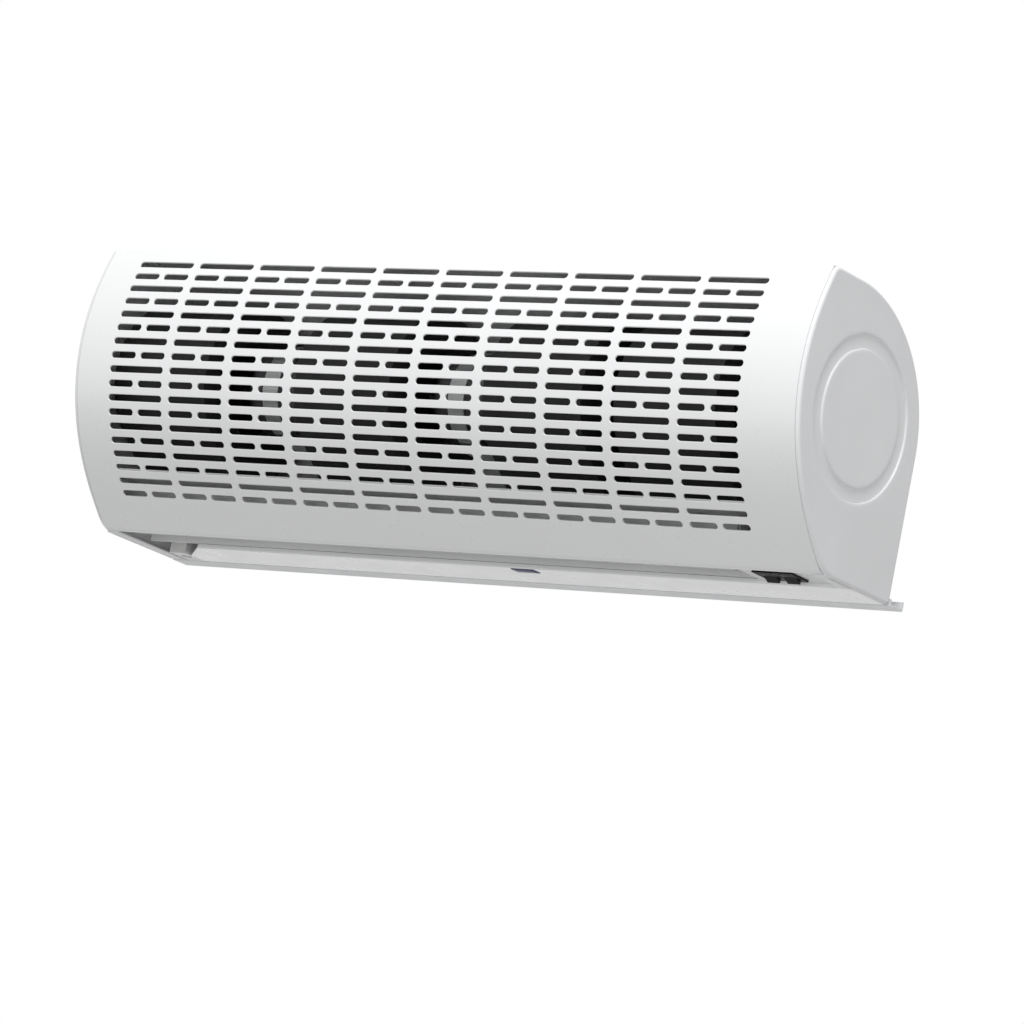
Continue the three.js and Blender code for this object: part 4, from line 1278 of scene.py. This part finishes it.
def rounded_corners(
    loop: Array, reach: Array, sharp: float = 20.0, steps: int = 8
) -> Array:
    """Rounds only the corners of a loop, each with a parabola.

    Args:
        loop: (n, 2) points.
        reach: for every point, how far along the loop its bend starts.
        sharp: the least turn, in degrees, that makes a corner.
        steps: pieces per bend.

    Returns:
        The loop with new points in place of those that the bends cut off.
    """
    before, after = loop - np.roll(loop, 1, axis=0), np.roll(loop, -1, axis=0) - loop
    cross = before[:, 0] * after[:, 1] - before[:, 1] * after[:, 0]
    turn = np.abs(np.degrees(np.arctan2(cross, (before * after).sum(axis=1))))
    closed = np.vstack([loop, loop[:1]])
    s = arc_lengths(closed)
    total = s[-1]
    t = np.linspace(0, 1, steps + 1)
    keep = np.ones(len(loop), dtype=bool)
    places, points = [], []
    for i in np.nonzero(turn > sharp)[0]:
        keep &= np.abs((s[:-1] - s[i] + total / 2) % total - total / 2) > reach[i]
        low, high = (
            np.array([np.interp((s[i] + way * reach[i]) % total, s, closed[:, k]) for k in (0, 1)])
            for way in (-1, 1)
        )
        bend = np.outer((1 - t) ** 2, low) + np.outer(2 * t * (1 - t), loop[i])
        places.append((s[i] + reach[i] * (2 * t - 1)) % total)
        points.append(bend + np.outer(t**2, high))
    places.append(s[:-1][keep])
    points.append(loop[keep])
    order = np.argsort(np.concatenate(places))
    return np.vstack(points)[order]


# ---- Blowers -----------------------------------------------------------------------------


@dataclass
class Blower:
    """One scroll housing and its bladed wheel."""

    number: int
    left: float
    axis_y: float
    axis_z: float
    width: float = 80.0
    wall: float = 2.0
    tongue_radius: float = 54.0
    growth: float = 9.0
    tongue_angle: float = 232.0
    throat_angle: float = -35.0
    scroll_steps: int = 64
    neck_top: float = -55.0
    neck_bottom: float = -66.0
    neck: tuple = (-90.7, -60.7)
    edge: float = 0.8
    edge_mid: tuple = (0.3, 0.1)
    inlet: float = 31.0
    inlet_roll: tuple = (
        (9.0, 0.0),
        (4.0, 0.0),
        (2.2, 0.25),
        (0.8, 1.0),
        (0.0, 2.4),
        (0.0, 4.0),
        (1.6, 4.0),
    )
    inlet_root: float = 3.6
    wheel_radius: float = 47.0
    blade_depth: float = 9.0
    blades: int = 36
    blade_points: int = 7
    blade_inset: float = 0.7
    blade_half: float = 0.45
    blade_swell: float = 0.25
    cup: float = 0.16
    cup_power: float = 1.8
    side_gap: float = 6.0
    bore: float = 4.15
    rim_width: float = 2.0
    rim_bend: float = 0.5
    hub_radius: float = 8.0
    hub_half: float = 11.0
    web_half: float = 1.0
    web_inner: float = 20.0
    web_outer: float = 3.0
    soft: float = 0.6
    sides: int = 72

    def outline(self, inset: float = 0.0) -> Array:
        """Spiral and neck seen from the right, counter-clockwise.

        Args:
            inset: how far the line is moved in.

        Returns:
            (n, 2) points.
        """
        t = np.linspace(0, 1, self.scroll_steps + 1)
        turn = np.radians(self.throat_angle + (self.tongue_angle - self.throat_angle) * t)
        radius = self.tongue_radius + self.growth * (1 - t) - inset
        y = self.axis_y + radius * np.cos(turn)
        z = self.axis_z + radius * np.sin(turn)
        front, rear = self.neck[0] + inset, self.neck[1] - inset
        neck = np.array(
            [
                [front, self.neck_top],
                [front, self.neck_bottom],
                [rear, self.neck_bottom],
                [rear, self.neck_top],
            ]
        )
        return np.vstack([np.stack([y, z], axis=1), neck])

    def housing(self) -> bpy.types.Object:
        """Makes the scroll housing: spiral walls, sides with rolled inlets, open at the neck.

        Returns:
            The new object.
        """
        outer, inner = self.outline(), self.outline(self.wall)
        centre = np.array([self.axis_y, self.axis_z])
        left, right = self.left, self.left + self.width
        surface = Surface()
        xs = np.array([left + self.edge, left + self.width / 2, right - self.edge])
        neck_mouth = len(outer) - 2
        surface.grid(along_x(np.roll(outer, -neck_mouth, axis=0), xs))
        surface.grid(along_x(np.roll(inner, -neck_mouth, axis=0), xs), flip=True)
        away = outer - centre
        away /= np.linalg.norm(away, axis=1)[:, None]
        inward = left_normals(outer, closed=True)
        down, across = self.edge_mid
        for side, x in ((-1, left), (1, right)):
            rows = [
                (x - side * self.edge, outer),
                (x - side * self.edge * down, outer + inward * across),
                (x, outer + inward * self.edge),
            ]
            rows += [
                (x - side * depth, centre + away * (self.inlet + grow))
                for grow, depth in self.inlet_roll
            ]
            rows.append((x - side * self.wall, centre + away * (self.inlet + self.inlet_root)))
            rows.append((x - side * self.wall, inner))
            grid = np.stack([np.column_stack([np.full(len(yz), px), yz]) for px, yz in rows])
            surface.grid(grid, closed=True, flip=side < 0)
        return surface.piece(f"scroll_skin_{self.number}", sharp=46.0)

    def wheel(self) -> bpy.types.Object:
        """Makes the wheel: two rolled rims, a disc with its hub, and cupped blades.

        Returns:
            The new object.
        """
        surface = Surface()
        x0, x1 = self.left + self.side_gap, self.left + self.width - self.side_gap
        middle = (x0 + x1) / 2
        outer, inner = self.wheel_radius, self.wheel_radius - self.blade_depth
        for a, b in ((x0, x0 + self.rim_width), (x1 - self.rim_width, x1)):
            rim = np.array([[inner, a], [outer, a], [outer, b], [inner, b], [inner, a]])
            rim = rounded(rim, self.rim_bend, 3)[::-1]
            turned(surface, rim, self.axis_y, self.axis_z, self.sides)
        half = [
            (self.bore, self.hub_half),
            (self.hub_radius - self.soft, self.hub_half),
            (self.hub_radius, self.hub_half - self.soft),
            (self.hub_radius + self.web_half, self.web_half + self.soft),
            (self.web_inner, self.web_half),
            (inner - self.web_outer, self.web_half),
            (outer - self.soft, self.web_half),
        ]
        disc = np.array([(self.bore, -self.hub_half), *mirrored(half)]) + [0, middle]
        turned(surface, disc, self.axis_y, self.axis_z, self.sides)
        reach = np.linspace(0, 1, self.blade_points)
        radius = inner + self.blade_inset + (outer - inner - 2 * self.blade_inset) * reach
        cup = self.cup * reach**self.cup_power
        half_angle = (self.blade_half + self.blade_swell * np.sin(math.pi * reach)) / radius
        radii = np.concatenate([radius, radius[::-1]])
        angles = np.concatenate([cup - half_angle, (cup + half_angle)[::-1]])
        ends = [x0 + self.rim_width / 2, x1 - self.rim_width / 2]
        for turn in FULL_TURN * np.arange(self.blades) / self.blades:
            y = self.axis_y + radii * np.cos(angles + turn)
            z = self.axis_z + radii * np.sin(angles + turn)
            blade = along_x(np.stack([y, z], axis=1), ends).swapaxes(0, 1)
            surface.grid(blade, closed=True, flip=True)
        return surface.piece(f"wheel_skin_{self.number}", sharp=35.0)


@dataclass
class Motor:
    """Motor can with rounded end bells, a stator band and bosses."""

    number: int
    middle: float
    axis_y: float
    axis_z: float
    radius: float = 31.0
    length: float = 46.0
    boss_radius: float = 11.0
    boss_length: float = 5.0
    boss_soft: float = 0.8
    boss_fillet: float = 0.9
    bell: tuple = (
        (9.0, 0.0),
        (5.5, 0.6),
        (2.8, 2.0),
        (1.2, 4.2),
        (0.8, 7.0),
        (0.8, 10.4),
        (0.0, 10.8),
    )
    seam_half: float = 2.0
    seam_depth: float = 0.5
    seam_slope: float = 0.4
    bore: float = 4.2
    sides: int = 64

    def build(self) -> bpy.types.Object:
        """Makes the motor.

        Returns:
            The new object.
        """
        end = self.length / 2
        boss = end + self.boss_length
        side = [
            (self.bore, boss),
            (self.boss_radius - self.boss_soft, boss),
            (self.boss_radius, boss - self.boss_soft),
            (self.boss_radius, end + self.boss_fillet),
            (self.boss_radius + self.boss_fillet, end),
            *((self.radius - inset, end - depth) for inset, depth in self.bell),
            (self.radius, self.seam_half),
            (self.radius - self.seam_depth, self.seam_half - self.seam_slope),
        ]
        profile = np.array(mirrored(side)) + [0, self.middle]
        profile = np.vstack([profile, profile[:1]])
        surface = Surface()
        turned(surface, profile[::-1], self.axis_y, self.axis_z, self.sides)
        return surface.piece(f"motor_skin_{self.number}")


# ---- Outlet ------------------------------------------------------------------------------


@dataclass
class Outlet:
    """Vane in the mouth."""

    middle_y: float
    vane_z: float
    box_ends: tuple
    chord: float = 22.0
    thickness: float = 1.6
    tip_share: float = 0.38
    tip_power: int = 10
    chord_points: int = 15
    blade_edge: float = 0.3
    pin_radius: float = 2.0
    pin_length: float = 5.0
    pin_overlap: float = 2.0
    pin_points: int = 24

    def section(self) -> Array:
        """Section of the blade, thickest at its axis.

        Returns:
            (n, 2) points, counter-clockwise.
        """
        reach = np.sin(np.linspace(-QUARTER_TURN, QUARTER_TURN, self.chord_points))
        share = self.tip_share + (1 - self.tip_share) * (1 - np.abs(reach))
        tip = np.sqrt(np.clip(1 - np.abs(reach) ** self.tip_power, 0, 1))
        half = self.thickness / 2 * share * tip
        z = self.vane_z + self.chord / 2 * reach
        front = np.stack([self.middle_y - half, z], axis=1)[::-1]
        rear = np.stack([self.middle_y + half, z], axis=1)
        return np.vstack([front, rear[1:-1]])

    def vane(self) -> bpy.types.Object:
        """Makes the vane: a long blade with a pin at either end.

        Returns:
            The new object.
        """
        surface = Surface()
        low, high = self.box_ends[0] + self.pin_length, self.box_ends[1] - self.pin_length
        swept_loop(surface, self.section(), low, high, self.blade_edge)
        turn = np.linspace(0, FULL_TURN, self.pin_points, endpoint=False)
        y = self.middle_y + self.pin_radius * np.cos(turn)
        z = self.vane_z + self.pin_radius * np.sin(turn)
        pin = np.stack([y, z], axis=1)
        swept_loop(surface, pin, low - self.pin_length, low + self.pin_overlap)
        swept_loop(surface, pin, high - self.pin_overlap, high + self.pin_length)
        return surface.piece("vane_skin")


def soft_block(surface: Surface, low: Array, high: Array, corner: float, edge: float) -> None:
    """Adds a block with rounded upright corners and softened top and bottom edges.

    Args:
        surface: where the faces go.
        low: lowest corner.
        high: highest corner.
        corner: radius of the upright corners.
        edge: rounding of the top and bottom edges.
    """
    (x0, y0), (x1, y1) = low[:2], high[:2]
    corners = np.array([[x0, y0], [x1, y0], [x1, y1], [x0, y1]])
    loop = rounded_loop(corners, corner, BLOCK_STEPS)
    inward = left_normals(loop, closed=True)
    turns = np.linspace(0, QUARTER_TURN, BLOCK_STEPS)
    rows = [(low[2] + edge * (1 - math.cos(t)), edge * (1 - math.sin(t))) for t in turns]
    rows += [(low[2] + high[2] - z, inset) for z, inset in rows[::-1]]
    grid = np.stack(
        [np.column_stack([loop + inward * inset, np.full(len(loop), z)]) for z, inset in rows]
    )
    surface.grid(grid, closed=True)
    middle = loop.mean(axis=0)
    surface.fan(grid[0], np.array([*middle, low[2]]), flip=True)
    surface.fan(grid[-1], np.array([*middle, high[2]]))


# ---- Studio ------------------------------------------------------------------------------


@dataclass(frozen=True)
class Lamp:
    """A soft area lamp: its place and size in metres and its power in watts."""

    name: str
    place: tuple
    power: float
    size: tuple
    aim: tuple = (0, -0.1, 0)

    def build(self) -> None:
        """Hangs the lamp, facing its aim."""
        data = bpy.data.lights.new(self.name, "AREA")
        data.shape = "RECTANGLE"
        data.energy = self.power
        data.size, data.size_y = self.size
        lamp = bpy.data.objects.new(self.name, data)
        lamp.location = self.place
        way = Vector(self.aim) - Vector(self.place)
        lamp.rotation_euler = way.to_track_quat("-Z", "Y").to_euler()
        bpy.context.scene.collection.objects.link(lamp)


LAMPS = (
    Lamp("key", (0.75, -2.2, 2.8), 105.0, (2.4, 1.6)),
    Lamp("low", (1.3, -2.6, -0.72), 13.0, (2.0, 0.6)),
)


@dataclass(frozen=True)
class Studio:
    """Camera at the photograph's angle, soft lights, a white surround and a pale floor."""

    camera_place: tuple = (2.3663588, -3.1445356, -0.7772891)
    camera_turn: tuple = (100.71996638, -10.92551973, 35.20931983)
    lens: float = 207.8895
    sensor: float = 36.0
    far_clip: float = 50.0
    plain_level: float = 0.47
    white_level: float = 1.0
    floor_z: float = -3.4
    floor_half: float = 9.0
    floor_lines: int = 9

    def camera(self) -> None:
        """Places the camera."""
        data = bpy.data.cameras.new("camera")
        data.sensor_width = self.sensor
        data.lens = self.lens
        data.clip_end = self.far_clip
        camera = bpy.data.objects.new("camera", data)
        camera.location = self.camera_place
        camera.rotation_euler = [math.radians(angle) for angle in self.camera_turn]
        bpy.context.scene.collection.objects.link(camera)
        bpy.context.scene.camera = camera

    def surround(self) -> None:
        """White to the camera and to mirrors, a plain grey light to everything else."""
        world = bpy.data.worlds.new("surround")
        bpy.context.scene.world = world
        world.use_nodes = True
        nodes, links = world.node_tree.nodes, world.node_tree.links
        nodes.clear()
        path = nodes.new("ShaderNodeLightPath")
        seen = nodes.new("ShaderNodeMath")
        seen.operation = "MAXIMUM"
        through = nodes.new("ShaderNodeMath")
        through.operation = "MAXIMUM"
        links.new(path.outputs["Is Camera Ray"], seen.inputs[0])
        links.new(path.outputs["Is Glossy Ray"], seen.inputs[1])
        links.new(seen.outputs[0], through.inputs[0])
        links.new(path.outputs["Is Transmission Ray"], through.inputs[1])
        plain, white = (nodes.new("ShaderNodeBackground") for _ in range(2))
        for light, level in ((plain, self.plain_level), (white, self.white_level)):
            light.inputs["Color"].default_value = (1, 1, 1, 1)
            light.inputs["Strength"].default_value = level
        mix = nodes.new("ShaderNodeMixShader")
        output = nodes.new("ShaderNodeOutputWorld")
        links.new(through.outputs[0], mix.inputs["Fac"])
        links.new(plain.outputs[0], mix.inputs[1])
        links.new(white.outputs[0], mix.inputs[2])
        links.new(mix.outputs[0], output.inputs["Surface"])

    def floor(self) -> None:
        """Pale floor far below the hung unit."""
        half = self.floor_half / MM
        surface = Surface()
        line = np.linspace(-half, half, self.floor_lines)
        x, y = np.meshgrid(line, line)
        z = np.full(x.shape, self.floor_z / MM)
        surface.grid(np.stack([x, y, z], axis=-1))
        floor = surface.piece("floor")
        floor.data.materials.append(FLOOR_PAINT.material())
        floor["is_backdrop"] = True

    def build(self) -> None:
        """Sets up camera, lamps, surround and floor."""
        self.camera()
        for lamp in LAMPS:
            lamp.build()
        self.surround()
        self.floor()


# ---- Assembly ----------------------------------------------------------------------------


@dataclass
class AirCurtain:
    """The whole unit: builds each sub-assembly and dresses what the CAD keeps."""

    wardrobe: Wardrobe
    fan_lefts: tuple = (-277.0, -119.0, 39.0, 145.0)
    motor_middles: tuple = (-158.0, 0.0)
    left_fans: int = 2
    window_gap: float = 0.3
    lens_corner: float = 1.2
    lens_edge: float = 0.3

    def axis(self, joint: str) -> tuple[float, float]:
        """Finds a joint's axis.

        Args:
            joint: the joint's name.

        Returns:
            Its y and z in millimetres.
        """
        for entry in frame["joints"]:
            if entry["name"] == joint:
                return entry["pos_m"][1] / MM, entry["pos_m"][2] / MM
        raise KeyError(joint)

    def casing(self) -> None:
        """Cover, shell, caps and base."""
        wear = self.wardrobe.dress
        wear(FrontCover().build(), WHITE_PAINT, "casing", "front_cover")
        sheets = BodySheets()
        wear(sheets.rear_shell(), WHITE_PAINT, "casing", "rear_shell")
        low, high = (np.array(corner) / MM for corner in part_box("indicator_lens"))
        gap = self.window_gap
        window = (low[0] - gap, high[0] + gap, low[1] - gap, high[1] + gap)
        wear(sheets.base_panel(window), WHITE_PAINT, "casing", "base_panel")
        centre = self.axis("left_rotor_spin")
        wear(EndCap(-1, centre).build(), CAP_PLASTIC, "casing", "left_end_cap")
        wear(EndCap(1, centre).build(), CAP_PLASTIC, "casing", "right_end_cap")

    def blowers(self) -> None:
        """Scroll housings, wheels and motors."""
        wear = self.wardrobe.dress
        y, z = self.axis("left_rotor_spin")
        for number, left in enumerate(self.fan_lefts, start=1):
            blower = Blower(number, left, y, z)
            rotor = "left_rotor" if number <= self.left_fans else "right_rotor"
            wear(blower.housing(), BLACK_MOULD, "casing", f"scroll_housing_{number}")
            wear(blower.wheel(), WHEEL_MOULD, rotor, f"fan_wheel_{number}")
        for number, middle in enumerate(self.motor_middles, start=1):
            motor = Motor(number, middle, y, z).build()
            wear(motor, MOTOR_STEEL, "casing", f"motor_{number}")

    def outlet(self) -> None:
        """Vane and indicator."""
        y, z = self.axis("vane_tilt")
        low, high = (np.array(corner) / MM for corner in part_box("outlet_vane"))
        outlet = Outlet(y, z, (low[0], high[0]))
        self.wardrobe.dress(outlet.vane(), VANE_PLASTIC, "vane", "outlet_vane")
        low, high = (np.array(corner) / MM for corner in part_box("indicator_lens"))
        surface = Surface()
        soft_block(surface, low, high, self.lens_corner, self.lens_edge)
        lens = surface.piece("lens_skin")
        self.wardrobe.dress(lens, LENS, "casing", "indicator_lens")

    def kept_nodes(self) -> None:
        """Finishes of the CAD nodes that stay visible."""
        looks = {
            PLATE_PAINT: ("wall_plate",),
            INNER_PAINT: (
                "lower_baffle",
                "outlet_front_wall",
                "outlet_rear_wall",
                "motor_saddle_1",
                "motor_saddle_2",
                "bearing_pedestal",
                "switch_plate",
            ),
            BRIGHT_STEEL: ("shaft_left", "shaft_right", "motor_strap_1", "motor_strap_2"),
            SMALL_PLASTIC: (
                "vane_pivot_left",
                "vane_pivot_right",
                "run_capacitor_1",
                "run_capacitor_2",
                "terminal_block",
                "cord_clamp",
            ),
            SWITCH_MOULD: (
                "switch_body_1",
                "switch_body_2",
                "switch_rocker_1",
                "switch_rocker_2",
            ),
        }
        for finish, names in looks.items():
            for name in names:
                self.wardrobe.dress_node(name, finish)

    def build(self) -> None:
        """Builds everything in order."""
        self.casing()
        self.blowers()
        self.outlet()
        self.kept_nodes()


def write_sizes() -> None:
    """Works out the CAD's box and the visual model's box; the result is not kept."""

    def plain(box: tuple) -> list:
        """Turns a box into plain numbers.

        Args:
            box: two corners.

        Returns:
            The corners as lists.
        """
        return [[float(value) for value in corner] for corner in box]

    {"cad": plain(CAD_BOX), "visual": plain(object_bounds())}


def main() -> None:
    """Builds the studio and the unit."""
    logging.basicConfig(level=logging.INFO, format="%(message)s")
    scene = bpy.context.scene
    scene.view_settings.view_transform = "Standard"
    Studio().build()
    AirCurtain(Wardrobe()).build()
    write_sizes()


if __name__ == "__main__":
    main()
